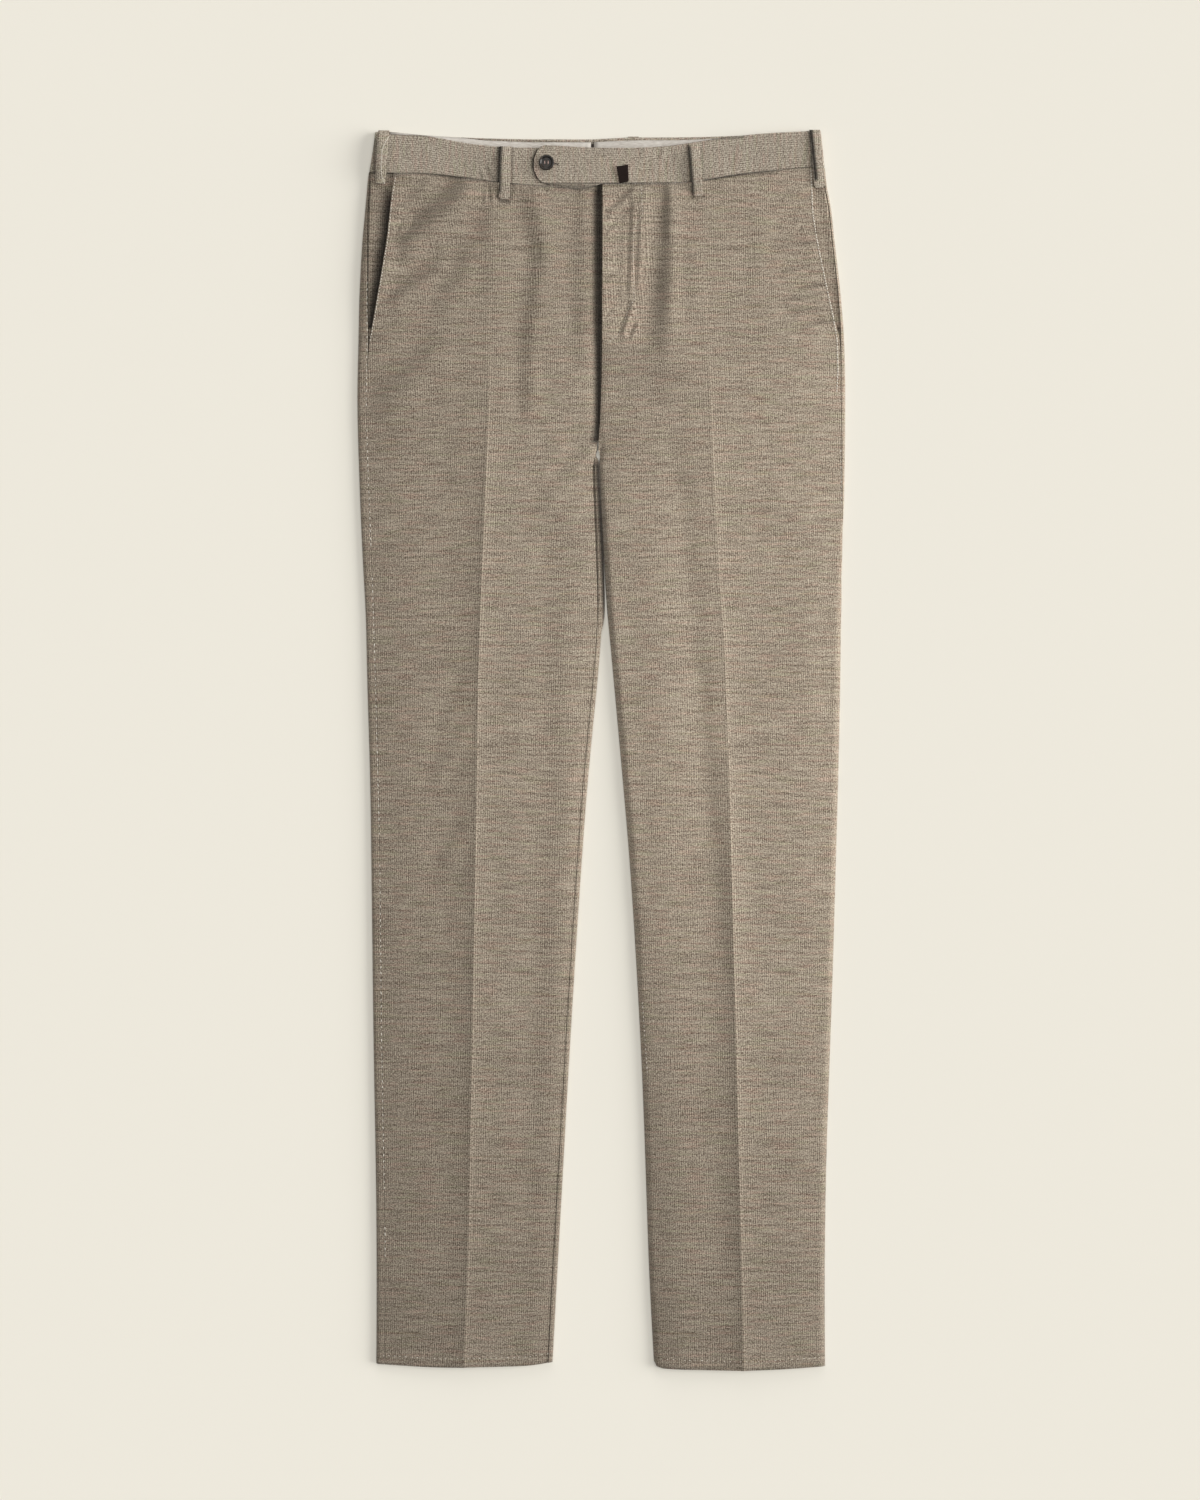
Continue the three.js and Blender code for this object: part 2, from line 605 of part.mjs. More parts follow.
function addWaistband(half) {
  const isLeft = half.side === 'left';
  const yGuide = 575;
  const edge = half.outer(yGuide);
  const stations = [];
  const centreX = CENTRE_BACK_X - (half.inward * SEAM_GAP) / 2;
  const sideX = edge + half.inward * JOIN;
  for (const share of UNDER_BAND_SHARES) stations.push({ x: mix(centreX, sideX, share), under: true });
  const run = overFold(JOIN, BAND_FOLD_RADIUS);
  for (const share of steps(8)) stations.push({ distance: mix(-run, run, share) });
  for (const x of frontStations(half)) stations.push({ x });
  if (isLeft) {
    for (const x of [1, -17, -35, TAB_SHOULDER_X]) stations.push({ x });
    for (const share of [0.3, 0.55, 0.8, 0.93, 1]) {
      stations.push({ x: mix(TAB_SHOULDER_X, TAB_TIP_X, share), tip: share });
    }
  } else {
    for (const x of [1, 14, 27]) stations.push({ x });
  }
  const grid = stations.map((station) =>
    BAND_ROWS.map((rise) => {
      let point;
      if (station.distance !== undefined) {
        const guide = mix(558, 598, rise);
        const topZ = (x) => bandTop(half, x);
        const { distance } = station;
        point = ringPoint(half.outer(guide), half.inward, BAND_FOLD_RADIUS, distance, 0, topZ, backLift);
      } else if (station.under) {
        point = { x: station.x, z: backLift(station.x, yGuide), outZ: -1 };
      } else {
        point = { x: station.x, z: bandTop(half, station.x) };
      }
      const under = underShare(point);
      const upper = mix(edgeY(half.bandUpper, point.x), edgeY(backWaistEdge, point.x), under);
      const lowerFront = edgeY(half.bandLower, point.x);
      const lower = mix(lowerFront, edgeY(backWaistEdge, point.x) - BAND_HEIGHT, under);
      const width = Math.sqrt(Math.max(0.12, 1 - (station.tip ?? 0) ** 2));
      point.y = mix(lower, upper, 0.5 + (rise - 0.5) * width);
      return point;
    }),
  );
  addCloth(`waistband_${half.side}`, materials.band, grid, BAND_CLOTH);
}

// Pale lining of the back waistband: the strip that shows above the front waistband, split at the back
function addWaistLining(half) {
  const slitX = CENTRE_BACK_X - half.inward * 1.5;
  const sideX = half.outer(575) + half.inward * JOIN;
  const grid = [...UNDER_BAND_SHARES, 0.98].map((share) => {
    const x = mix(slitX, sideX, share);
    const upper = edgeY(backWaistEdge, x) - 1.8;
    return [0, 0.5, 1].map((rise) => {
      const y = mix(upper - 33, upper, rise);
      return { x, y, z: BAND_CLOTH + SEAM_GAP + 1 + backLift(x, 575) };
    });
  });
  addCloth(`waist_lining_${half.side}`, materials.lining, grid, 1);
}

// Belt loops of the front and sides, each a folded strip that bows up over the waistband
function addBeltLoop({ name, topX, topY, bottomX, bottomY, arch }) {
  const half = topX < 0 ? halves.right : halves.left;
  const grid = steps(8, true).map((share) => {
    const centreX = mix(topX, bottomX, share);
    const y = mix(topY, bottomY, share);
    const inner = Math.min(Math.abs(centreX), 205) * Math.sign(centreX);
    const upperEdge = edgeY(half.bandUpper, inner);
    const onBand = smooth((y - (edgeY(half.bandLower, inner) - 7)) / 6);
    const panelZ = topHeight(half, inner, Math.min(y, 545));
    let rest = mix(panelZ, bandTop(half, inner), onBand) + SEAM_GAP;
    if (y > upperEdge) rest = bandTop(half, inner) + SEAM_GAP;
    const bow = arch * Math.sin(Math.PI * clamp(share)) ** 0.8;
    return [-0.5, -0.3, 0.3, 0.5].map((across) => {
      const edgeDrop = Math.abs(across) > 0.4 ? 0.25 : 0;
      const x = centreX + across * LOOP_WIDTH;
      return { x, y, z: rest + LOOP_THICKNESS + bow - edgeDrop };
    });
  });
  addCloth(name, materials.cloth, grid, LOOP_THICKNESS - 0.25);
}

// Belt loops at the back, flat between the garment and what it lies on
function addBackLoop({ name, x, topY, bottomY }) {
  const grid = steps(4, true).map((share) =>
    [-0.5, 0, 0.5].map((across) => ({
      x: x + across * LOOP_WIDTH,
      y: mix(topY, bottomY, share),
      z: 0,
      outZ: -1,
    })),
  );
  addCloth(name, materials.cloth, grid, BACK_LOOP_THICKNESS);
}

// Dark keeper on the waistband, a small doubled tab that holds the belt's prong
const keeperCorners = [
  { x: 16, y: 565, lift: 1.2 },
  { x: 27.2, y: 567, lift: 0.5 },
  { x: 27.6, y: 550.5, lift: 0.1 },
  { x: 19, y: 549, lift: 0.2 },
];
const KEEPER_THICKNESS = 1.1;
function addKeeper() {
  const [upperLeft, upperRight, lowerRight, lowerLeft] = keeperCorners;
  const grid = steps(4, true).map((down) =>
    steps(3, true).map((across) => {
      const corner = (key) =>
        mix(mix(upperLeft[key], upperRight[key], across), mix(lowerLeft[key], lowerRight[key], across), down);
      const x = corner('x');
      const rest = bandTop(halves.left, x) + SEAM_GAP + KEEPER_THICKNESS;
      return { x, y: corner('y'), z: rest + corner('lift') };
    }),
  );
  addCloth('prong_keeper', materials.keeper, grid, KEEPER_THICKNESS);
}

// Horn button with a raised rim and four sewing holes, fastened on the tab
const BUTTON = { x: -51.9, y: 568.9, radius: 7.4, rim: 5.4, height: 2.8, well: 1.9 };
const HOLE = { radius: 0.8, offset: 1.7, sides: 10 };
async function addButton() {
  const wasm = await Module();
  wasm.setup();
  const toSolid = (geometry) => {
    geometry.deleteAttribute('normal');
    geometry.deleteAttribute('uv');
    const merged = mergeVertices(geometry, 1e-4);
    const vertProperties = new Float32Array(merged.attributes.position.array);
    const triVerts = new Uint32Array(merged.index.array);
    return new wasm.Manifold(new wasm.Mesh({ numProp: 3, vertProperties, triVerts }));
  };
  const profile = [
    [0, 0],
    [BUTTON.radius - 1.6, 0],
    [BUTTON.radius, 1.1],
    [BUTTON.radius, 2.0],
    [BUTTON.radius - 0.7, BUTTON.height],
    [BUTTON.rim + 0.5, BUTTON.height],
    [BUTTON.rim - 0.6, BUTTON.well],
    [0, BUTTON.well],
  ].map(([x, y]) => new THREE.Vector2(x, y));
  let solid = toSolid(new THREE.LatheGeometry(profile, 32).rotateX(Math.PI / 2));
  for (const sideX of [-1, 1]) {
    for (const sideY of [-1, 1]) {
      const hole = new THREE.CylinderGeometry(HOLE.radius, HOLE.radius, 8, HOLE.sides);
      hole.rotateX(Math.PI / 2).translate(sideX * HOLE.offset, sideY * HOLE.offset, 0);
      solid = solid.subtract(toSolid(hole));
    }
  }
  const cut = solid.getMesh();
  const geometry = new THREE.BufferGeometry();
  geometry.setAttribute('position', new THREE.BufferAttribute(cut.vertProperties, 3));
  geometry.setIndex(new THREE.BufferAttribute(cut.triVerts, 1));
  const button = addMesh('waist_button', geometry, materials.horn);
  button.position.set(BUTTON.x, BUTTON.y, BAND_TOP + TAB_RAISE + SEAM_GAP);
}

for (const half of [halves.right, halves.left]) {
  addFrontPanel(half);
  addBackPanel(half);
  addPocketFacing(half);
  addWaistband(half);
  addWaistLining(half);
}
beltLoops.forEach(addBeltLoop);
backLoops.forEach(addBackLoop);
addKeeper();
await addButton();

export default group;
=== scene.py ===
import math

import bmesh
import bpy
import numpy as np
from mathutils import Euler, Matrix, Vector


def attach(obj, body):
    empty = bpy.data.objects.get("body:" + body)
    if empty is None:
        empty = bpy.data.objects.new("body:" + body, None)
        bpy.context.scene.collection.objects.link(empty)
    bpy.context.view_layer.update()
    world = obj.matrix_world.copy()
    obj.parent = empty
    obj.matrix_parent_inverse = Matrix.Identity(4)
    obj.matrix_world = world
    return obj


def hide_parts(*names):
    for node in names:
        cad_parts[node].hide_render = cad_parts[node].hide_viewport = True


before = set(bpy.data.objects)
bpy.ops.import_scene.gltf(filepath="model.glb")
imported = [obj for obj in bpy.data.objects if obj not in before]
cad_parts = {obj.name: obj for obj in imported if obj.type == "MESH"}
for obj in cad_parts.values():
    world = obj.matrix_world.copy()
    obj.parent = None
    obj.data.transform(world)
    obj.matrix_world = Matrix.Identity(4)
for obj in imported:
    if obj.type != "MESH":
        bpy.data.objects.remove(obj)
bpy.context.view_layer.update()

# Camera, light and floor. The garment lies on a plain pale floor and is seen from straight above. The
# main light comes low from the photo's right, weaker ones come from the waist end and from above, and
# a pale fill comes from all round.

MM = 0.001
PIXEL = 0.97 * MM
PHOTO_HEIGHT = 1500
CAMERA_HEIGHT = 3.0
CLOTH_HEIGHT = 6 * MM
SENSOR = 36.0
FLOOR_SIZE = 4
FLOOR_DROP = 0.2 * MM
FLOOR_COLOUR = (0.700, 0.676, 0.612, 1)
FLOOR_GLOW = (0.125, 0.121, 0.110, 1)
FILL_COLOUR = (1.0, 0.965, 0.90, 1)
FILL_STRENGTH = 0.16
LAMP_COLOUR = (1.0, 0.99, 0.965)
LAMPS = {
    "right_softbox": {"from": (1.0, 0.03, 0.344), "energy": 3.75, "width": 40},
    "waist_softbox": {"from": (0.05, 1.0, 0.36), "energy": 0.85, "width": 40},
    "top_softbox": {"from": (0.05, 0.05, 1.0), "energy": 1.24, "width": 60},
}

camera_data = bpy.data.cameras.new("camera")
camera_data.sensor_width = SENSOR
camera_data.lens = SENSOR * CAMERA_HEIGHT / (PHOTO_HEIGHT * PIXEL)
camera = bpy.data.objects.new("camera", camera_data)
camera.location = (0, 0, CAMERA_HEIGHT + CLOTH_HEIGHT)
bpy.context.scene.collection.objects.link(camera)
bpy.context.scene.camera = camera
bpy.context.scene.view_settings.view_transform = "Standard"

for name, lamp in LAMPS.items():
    lamp_data = bpy.data.lights.new(name, "SUN")
    lamp_data.energy = lamp["energy"]
    lamp_data.angle = math.radians(lamp["width"])
    lamp_data.color = LAMP_COLOUR
    softbox = bpy.data.objects.new(name, lamp_data)
    softbox.rotation_euler = Vector(lamp["from"]).to_track_quat("Z", "Y").to_euler()
    bpy.context.scene.collection.objects.link(softbox)

world = bpy.data.worlds.new("fill_light")
world.use_nodes = True
world.node_tree.nodes["Background"].inputs["Color"].default_value = FILL_COLOUR
world.node_tree.nodes["Background"].inputs["Strength"].default_value = FILL_STRENGTH
bpy.context.scene.world = world


class Shade:
    """One socket of a material, so that its shader maths reads as Python."""

    def __init__(self, socket):
        self.socket = socket

    def node(self, kind, settings=(), inputs=(), out=0):
        """Adds a node: first its settings, then the values or links of its sockets."""
        tree = self.socket.id_data
        made = tree.nodes.new("ShaderNode" + kind)
        for key, value in dict(settings).items():
            setattr(made, key, value)
        for key, value in dict(inputs).items():
            if isinstance(value, Shade):
                tree.links.new(value.socket, made.inputs[key])
            else:
                made.inputs[key].default_value = value
        return Shade(made.outputs[out])

    def math(self, operation, *others):
        return self.node("Math", {"operation": operation}, dict(enumerate((self, *others))))

    def __add__(self, other):
        return self.math("ADD", other)

    def __sub__(self, other):
        return self.math("SUBTRACT", other)

    def __mul__(self, other):
        return self.math("MULTIPLY", other)

    def __truediv__(self, other):
        return self.math("DIVIDE", other)

    def __rsub__(self, other):
        return self.node("Math", {"operation": "SUBTRACT"}, {0: other, 1: self})

    def between(self, low, high):
        """0 below low, 1 above high, and a soft step between them."""
        inputs = {"Value": self, "From Min": low, "From Max": high}
        return self.node("MapRange", {"interpolation_type": "SMOOTHSTEP"}, inputs)

    def blend(self, first, second, way="MIX"):
        """Mixes two colours by this value."""
        settings = {"data_type": "RGBA", "blend_type": way}
        return self.node("Mix", settings, {0: self, 6: first, 7: second}, out=2)


def new_material(name):
    """A material with its surface shader, and a first socket to build expressions on."""
    material = bpy.data.materials.new(name)
    material.use_nodes = True
    surface = material.node_tree.nodes["Principled BSDF"]
    return material, surface, Shade(surface.outputs[0])


def feed(surface, name, value):
    """Links an expression to one of the surface shader's inputs."""
    surface.id_data.links.new(value.socket, surface.inputs[name])


floor_mesh = bmesh.new()
bmesh.ops.create_grid(floor_mesh, x_segments=1, y_segments=1, size=FLOOR_SIZE)
bmesh.ops.translate(floor_mesh, vec=(0, 0, -FLOOR_DROP), verts=floor_mesh.verts)
floor_data = bpy.data.meshes.new("floor")
floor_mesh.to_mesh(floor_data)
floor = bpy.data.objects.new("floor", floor_data)
bpy.context.scene.collection.objects.link(floor)
floor_material, floor_surface, _ = new_material("pale_floor")
floor_surface.inputs["Base Color"].default_value = FLOOR_COLOUR
floor_surface.inputs["Roughness"].default_value = 0.9
floor_surface.inputs["Specular IOR Level"].default_value = 0.2
floor_surface.inputs["Emission Color"].default_value = FLOOR_GLOW
floor_surface.inputs["Emission Strength"].default_value = 1.0
floor_data.materials.append(floor_material)


# Leg panels. Two fronts and two backs of fine corduroy, cut with the ribs along the pressed crease
# and sewn at the side seams and inseams. The fronts lie on the backs, and both turn round the folds.
# Lines and heights are in millimetres, flat cuts and areas in metres.

WALE = 2.05
TOP_LAYER = 4.2
TOP_FADE = 1.4
UNDERSIDE = 1.2
UNDERSIDE_FADE = 0.6
WALL_REACH = 40
MERGE_DISTANCE_METRES = 5e-6
CRISP_ANGLE = math.radians(70)
CREASE = {
    "right": (
        (602, -105), (455, -106), (339, -108), (281, -110), (223, -112.5), (164, -115),
        (67, -118), (-88, -120.5), (-282, -124), (-476, -127.5), (-602, -132),
    ),
    "left": (
        (602, 101), (455, 102.5), (397, 104.5), (339, 107), (281, 109.5), (223, 112.5), (164, 115.5),
        (106, 120.5), (-10, 124.5), (-165, 128.5), (-360, 133.5), (-476, 136.3), (-602, 139.2),
    ),
}


def along(line, place):
    """The second number of a line of pairs, at each place between their first numbers."""
    pairs = sorted(line)
    return np.interp(place, [pair[0] for pair in pairs], [pair[1] for pair in pairs])


def cloth_wall(node):
    """A merged copy of a node's cloth wall in four-sided faces, with its cut edges kept crisp."""
    cloth = bmesh.new()
    cloth.from_mesh(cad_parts[node].data)
    bmesh.ops.remove_doubles(cloth, verts=cloth.verts, dist=MERGE_DISTANCE_METRES)
    bmesh.ops.join_triangles(
        cloth,
        faces=cloth.faces,
        angle_face_threshold=math.radians(35),
        angle_shape_threshold=math.radians(70),
    )
    crisp = cloth.edges.layers.float.new("crease_edge")
    for edge in cloth.edges:
        if edge.calc_face_angle(0) > CRISP_ANGLE:
            edge[crisp] = 1
    return cloth


def add_piece(name, shape):
    """Puts a bmesh into the scene as a piece that rides with the garment."""
    data = bpy.data.meshes.new(name)
    shape.to_mesh(data)
    shape.free()
    data.shade_smooth()
    piece = bpy.data.objects.new(name, data)
    bpy.context.scene.collection.objects.link(piece)
    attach(piece, "root")
    return piece


def refine(piece, levels):
    """Subdivides a piece smoothly and keeps the finer mesh as its own."""
    finer = piece.modifiers.new("finer", "SUBSURF")
    finer.levels = levels
    finer.render_levels = levels
    shown = piece.evaluated_get(bpy.context.evaluated_depsgraph_get())
    coarse = piece.data
    piece.data = bpy.data.meshes.new_from_object(shown)
    piece.modifiers.clear()
    bpy.data.meshes.remove(coarse)
    piece.data.name = piece.name


def refine_zone(piece, zone, cuts):
    """Cuts the faces of the top layer inside a zone (low x, low y, high x, high y) finer still."""
    low_x, low_y, high_x, high_y = (side * MM for side in zone)
    cloth = bmesh.new()
    cloth.from_mesh(piece.data)
    inside = [
        edge
        for edge in cloth.edges
        if all(
            low_x < end.co.x < high_x and low_y < end.co.y < high_y and end.co.z > TOP_LAYER * MM
            for end in edge.verts
        )
    ]
    bmesh.ops.subdivide_edges(cloth, edges=inside, cuts=cuts, use_grid_fill=True)
    cloth.to_mesh(piece.data)
    cloth.free()


def points_of(piece):
    """The points of a piece, one row each, in millimetres."""
    flat = np.empty(len(piece.data.vertices) * 3)
    piece.data.vertices.foreach_get("co", flat)
    return flat.reshape(-1, 3) / MM


def set_points(piece, points):
    """Moves the points of a piece to new places in millimetres."""
    piece.data.vertices.foreach_set("co", (points * MM).ravel())
    piece.data.update()


def lay_ribs(piece, across, lengthwise):
    """Stores how far each point lies across and along the ribs as the piece's UV map, in metres."""
    layer = piece.data.uv_layers.new(name="cloth")
    corner_points = np.empty(len(piece.data.loops), dtype=int)
    piece.data.loops.foreach_get("vertex_index", corner_points)
    pairs = np.stack([across, lengthwise], axis=1)[corner_points] * MM
    layer.data.foreach_set("uv", pairs.ravel())


def from_crease_round(side, x, y, z, level):
    """How far each point lies from a leg's crease, measured over the cloth and down its edges."""
    from_crease = x - along(CREASE[side], y)
    return from_crease - (z - level) * np.clip(from_crease / WALL_REACH, -1, 1)


def distance_to(line, x, y):
    """How far each point lies from a line of points, seen from above."""
    nearest = np.full_like(x, np.inf)
    for (from_x, from_y), (to_x, to_y) in zip(line, line[1:]):
        run_x, run_y = to_x - from_x, to_y - from_y
        share = ((x - from_x) * run_x + (y - from_y) * run_y) / (run_x**2 + run_y**2)
        share = np.clip(share, 0, 1)
        away = np.hypot(x - from_x - share * run_x, y - from_y - share * run_y)
        nearest = np.minimum(nearest, away)
    return nearest


def paint_shading(piece, hollows):
    """Stores painted shade: where the colour is made darker along hollows, folds and gaps, above the
    underside. Each hollow has a line, a reach to both sides and an amount. Below zero the colour is
    made paler instead.
    """
    x, y, z = points_of(piece).T
    deep = np.zeros_like(x)
    for line, reach, amount in hollows:
        share = amount * smooth(1 - distance_to(line, x, y) / reach)
        deep = np.maximum(deep, share) if amount > 0 else deep + share
    deep *= smooth((z - UNDERSIDE) / UNDERSIDE_FADE)
    piece.data.attributes.new("painted_shading", "FLOAT", "POINT").data.foreach_set("value", deep)


def smooth(value):
    """A soft step from 0 to 1."""
    value = np.clip(value, 0, 1)
    return value * value * (3 - 2 * value)


def step_up(place, start, run):
    """A soft step that begins at a start and is complete one run higher."""
    return smooth((place - start) / run)


def step_down(place, start, run):
    """A soft step that begins at a start and is complete one run lower."""
    return smooth((start - place) / run)


def mound(place, middle, width):
    """A soft mound of height 1."""
    return np.exp(-(((place - middle) / width) ** 2))


# Broad troughs (below zero) and ridges of the fronts, each from one end to the other
FOLD_COLUMNS = ("from_x", "from_y", "to_x", "to_y", "height", "width", "end")
FRONT_FOLDS = {
    "left": (
        (1.5, 395, -2.0, 285, -1.1, 3.2, 12),
        (38, 511, 37, 440, 0.6, 4, 16),
        (44, 548, 42, 470, 0.5, 4, 14),
        (101, 553.5, 168, 560.5, -1.5, 2.2, 14),
        (55, 386, 20, 372, -0.9, 9, 22),
        (20, 260, 24, 190, 0.5, 10, 50),
    ),
    "right": (
        (1.0, 395, -2.6, 285, -1.6, 3.2, 12),
        (-34, 300, -58, 262, 0.5, 7, 14),
        (-186, 470, -180, 420, -0.5, 9, 20),
        (-60, 180, -70, 40, 0.5, 14, 80),
    ),
}

# Sharp puckers, in the same columns. Seen along its run, the cloth stands up on the left of the line
# and dips on the right.
FRONT_PUCKERS = {
    "left": (
        (32.5, 544.6, 6.3, 519.4, 1.3, 3.0, 6),
        (16.7, 510.7, 5.3, 501, 0.8, 2.0, 5),
        (40, 533, 22, 517, 0.7, 2.0, 6),
        (24, 470, 6, 455, 0.6, 2.4, 7),
        (31, 535, 27.6, 440, 0.8, 2.4, 20),
        (38, 520, 36, 450, 0.5, 2.2, 20),
        (30.6, 434, 19.9, 402, 1.3, 2.4, 8),
        (35.4, 414.7, 29.6, 399, 0.8, 1.8, 5),
        (24.7, 396, 6.3, 387.5, 0.7, 2.0, 6),
        (15, 429.5, 7, 419.9, 0.5, 1.9, 5),
        (65, 549, 63.5, 494, 0.9, 3.6, 8),
        (65, 535, 60.5, 425, 1.9, 8, 60),
        (61, 470, 54, 392, 1.7, 13, 50),
        (204, 547, 166, 532, 1.1, 3.4, 9),
        (206, 535, 192, 528, 0.8, 1.8, 6),
        (207, 514, 194, 507, 0.7, 1.7, 6),
        (209, 506, 192, 501, 0.8, 2.0, 6),
        (213, 486, 199, 482, 0.7, 1.8, 6),
        (217, 468, 202, 462, 0.8, 1.9, 6),
        (219, 459, 206, 455, 0.6, 1.6, 5),
        (223, 441, 207, 437, 0.7, 1.8, 6),
        (228, 424, 212, 419, 0.7, 1.8, 6),
        (229, 404, 214, 399, 0.6, 1.9, 6),
        (230, 392, 216, 389, 0.5, 1.7, 6),
        (209, 526, 172, 512, 1.1, 3.2, 8),
        (212, 498, 164, 482, 1.3, 3.8, 10),
        (216, 479, 178, 467, 1.0, 3.0, 9),
        (222, 453, 178, 438, 1.3, 3.8, 9),
        (225, 434, 176, 420, 1.1, 3.4, 9),
        (227, 412, 190, 398, 0.9, 3.4, 8),
        (14, 376, 82, 354, 0.3, 18, 28),
        (26, 286, 60, 262, 0.35, 3.5, 14),
        (84, 500, 86, 420, 0.6, 8, 30),
        (150, 520, 146, 440, 0.5, 9, 30),
        (84, 290, 100, 90, 0.5, 9, 50),
        (101, 92, 123, -190, 0.75, 8.5, 60),
        (72, -450, 128, -443, 0.5, 6, 20),
        (120, -440, 132, -480, 0.5, 7, 20),
    ),
    "right": (
        (-202, 531, -186, 526, 0.7, 1.8, 6),
        (-203, 519, -190, 516, 0.55, 1.7, 5),
        (-209, 474, -194, 478, 0.6, 1.9, 6),
        (-216, 436, -198, 446, 0.65, 2.1, 6),
        (-107, 548, -105.5, 532, 0.8, 1.8, 5),
        (-84, 549, -82, 540, 0.4, 1.5, 4),
        (-66, 549, -67, 542, 0.35, 1.4, 4),
        (-52, 549, -50, 538, 0.45, 1.7, 5),
        (-36, 549, -37, 541, 0.35, 1.4, 4),
        (-20, 549, -19, 536, 0.5, 1.8, 5),
        (-112, 546, -112.5, 530, 0.45, 1.8, 5),
        (-130, 552, -198, 486, 3.0, 11, 26),
        (-152, 476, -208, 436, 1.9, 8, 20),
        (-168, 549, -200, 522, 1.2, 5, 12),
        (-160, 392, -218, 338, 1.5, 12, 30),
        (-112, 510, -158, 430, 1.2, 10, 30),
        (-72, 540, -60, 480, 1.5, 9, 24),
        (-60, 490, -72, 400, 1.6, 9.5, 30),
        (-72, 410, -73, 322, 1.1, 8, 34),
        (-20, 545, -22, 380, 0.9, 8, 70),
        (-110, 532, -110, 440, 0.5, 8, 40),
        (-38, 262, -12, 276, 0.45, 2.6, 8),
        (-9, 299, -60, 236, 0.9, 8, 24),
        (-150, 240, -196, 200, 0.5, 10, 40),
        (-128, 36, -166, -34, 1.1, 6, 26),
        (-130, 70, -160, 10, 0.8, 6, 26),
        (-128, -10, -160, -70, 0.5, 6, 24),
        (-130, -66, -158, -108, 1.2, 8, 24),
        (-128, -120, -150, -170, 0.45, 7, 30),
    ),
}
FLAP_RAISE = 2.6
FLY_HOLLOW = 2.4
MOUTH_RAISE = 2.4
MOUTH = {
    "right": ((560, -199.3), (534, -202.2), (498, -206.1), (462, -211.9), (420, -219.2), (393, -225)),
    "left": ((566, 204.4), (525, 206.6), (491, 211.6), (451, 220.1), (409, 229.6), (394, 231.3)),
}
# Each leg's pressed crease is a broad roll and a sharp fold: height, reach to its left, to its right
CREASE_ROLL = {"right": (2.0, 34, 24), "left": (1.2, 60, 24)}
CREASE_FOLD = {"right": (1.2, 6, 22), "left": (2.6, 7.5, 24)}
# A ridge beside the crease and a roll beside the inner edge: height, distance from the line, width
THIGH_RIDGE = {"right": (-1.4, 62, 19), "left": (1.5, -62, 26)}
INSEAM_ROLL = {"right": (0.8, -15, 12), "left": (0.7, 14, 17)}
INSEAM_FLAT = 6
# The crown of the left inner edge: height, width, run of its rim, and how much of it is gone below
LEFT_CROWN = (1.8, 22, 4.5, 1.1)
HEM_FLATTER = 0.35
# Where each part begins, or begins to end, and over what length, going down the leg
BELOW_BAND = (549, 14)
ROLL_START = {"right": (400, 190), "left": (400, 190)}
FOLD_START = {"right": (400, 190), "left": (150, 380)}
HEM_START = (-300, 250)
RIDGE_START = (300, 120)
INSEAM_START = {"right": (200, 300), "left": (270, 50)}
CROWN_END = (60, 500)
MOUTH_TOP = (556, 20)
# The same, going up the leg
LEFT_ROLL_FOOT = (-450, 400)
FLAP_FOOT = (372, 60)
HOLLOW_FOOT = (285, 60)
MOUTH_FOOT = (393, 50)
# And across it, from the fly's edge or the pocket mouth; the hollow has its middle and its width
FLAP_REACH = (18, 18)
MOUTH_REACH = (16, 16)
HOLLOW_PLACE = (-1, 7.5)
INNER_EDGE = {
    "right": ((282, -3), (0, -13.9), (-200, -28.5), (-400, -40.1), (-602, -50.8)),
    "left": (
        (282, -0.7), (220, 1.6), (140, 6.5), (100, 10.3), (60, 14), (0, 19.5), (-60, 24.9),
        (-120, 29.9), (-200, 34.9), (-300, 40.5), (-400, 44.2), (-500, 47.2), (-590, 52.2),
    ),
}
CENTRE_FRONT = ((602, 2.4), (383, 1.9), (322, 0.5), (301, -2), (281, -2.2))
FLY_EDGE = ((-1, 556), (-1, 322), (-4, 301))
LEG_GAP = ((-2.4, 279), (-0.4, 240), (1.6, 200), (3.6, 165), (4.6, 140), (6.0, 122))
# Painted shade on the fronts: darker colour along the fly's hollow, the folds and puckers, round the
# loops' lower ends and along the seams under the waistband; each with its line, reach and amount
LEG_PAINTED_SHADE = {
    "right": (
        (FLY_EDGE, 8.5, 0.9),
        (((-140, 545), (-194, 498)), 16, 0.16),
        (((-160, 470), (-204, 440)), 12, 0.12),
        (((-165, 388), (-214, 342)), 26, 0.08),
        (((-98.5, 545), (-99.5, 535), (-96, 532.6), (-88, 532.6), (-85.5, 536), (-85, 548)), 2.0, 0.6),
        (((-199, 559), (-160, 556.5), (-126, 553.8), (-100, 549)), 1.7, 0.6),
        (((-86, 549), (-66, 546.3), (-48, 544.6), (-24, 544), (0, 543.5)), 1.7, 0.6),
    ),
    "left": (
        (((61, 540), (58, 390)), 16, 0.17),
        (((14, 386), (60, 382)), 20, 0.12),
        (((14, 368), (70, 364)), 22, 0.13),
        (((30, 350), (64, 346)), 20, 0.08),
        (((196, 534), (207, 537)), 3.0, 0.22),
        (((189, 514.5), (206, 517.5)), 3.2, 0.2),
        (((168, 493), (199, 497)), 4.0, 0.14),
        (((195, 490), (212, 494)), 3.2, 0.26),
        (((196, 448.5), (219, 452.5)), 3.2, 0.26),
        (((187, 438), (224, 444.5)), 3.6, 0.22),
        (((188, 426), (224, 430)), 3.4, 0.2),
        (((202, 411), (228, 417)), 3.4, 0.24),
        (((184, 466), (214, 471)), 3.4, 0.14),
        (((88.5, 548), (89, 538), (92, 535), (99, 535.2), (102, 540)), 2.0, 0.55),
        (((101, 553.5), (130, 557.5), (168, 560.5)), 2.0, 0.55),
        (((3, 548.2), (38, 549.2), (86, 550)), 1.4, 0.3),
    ),
}
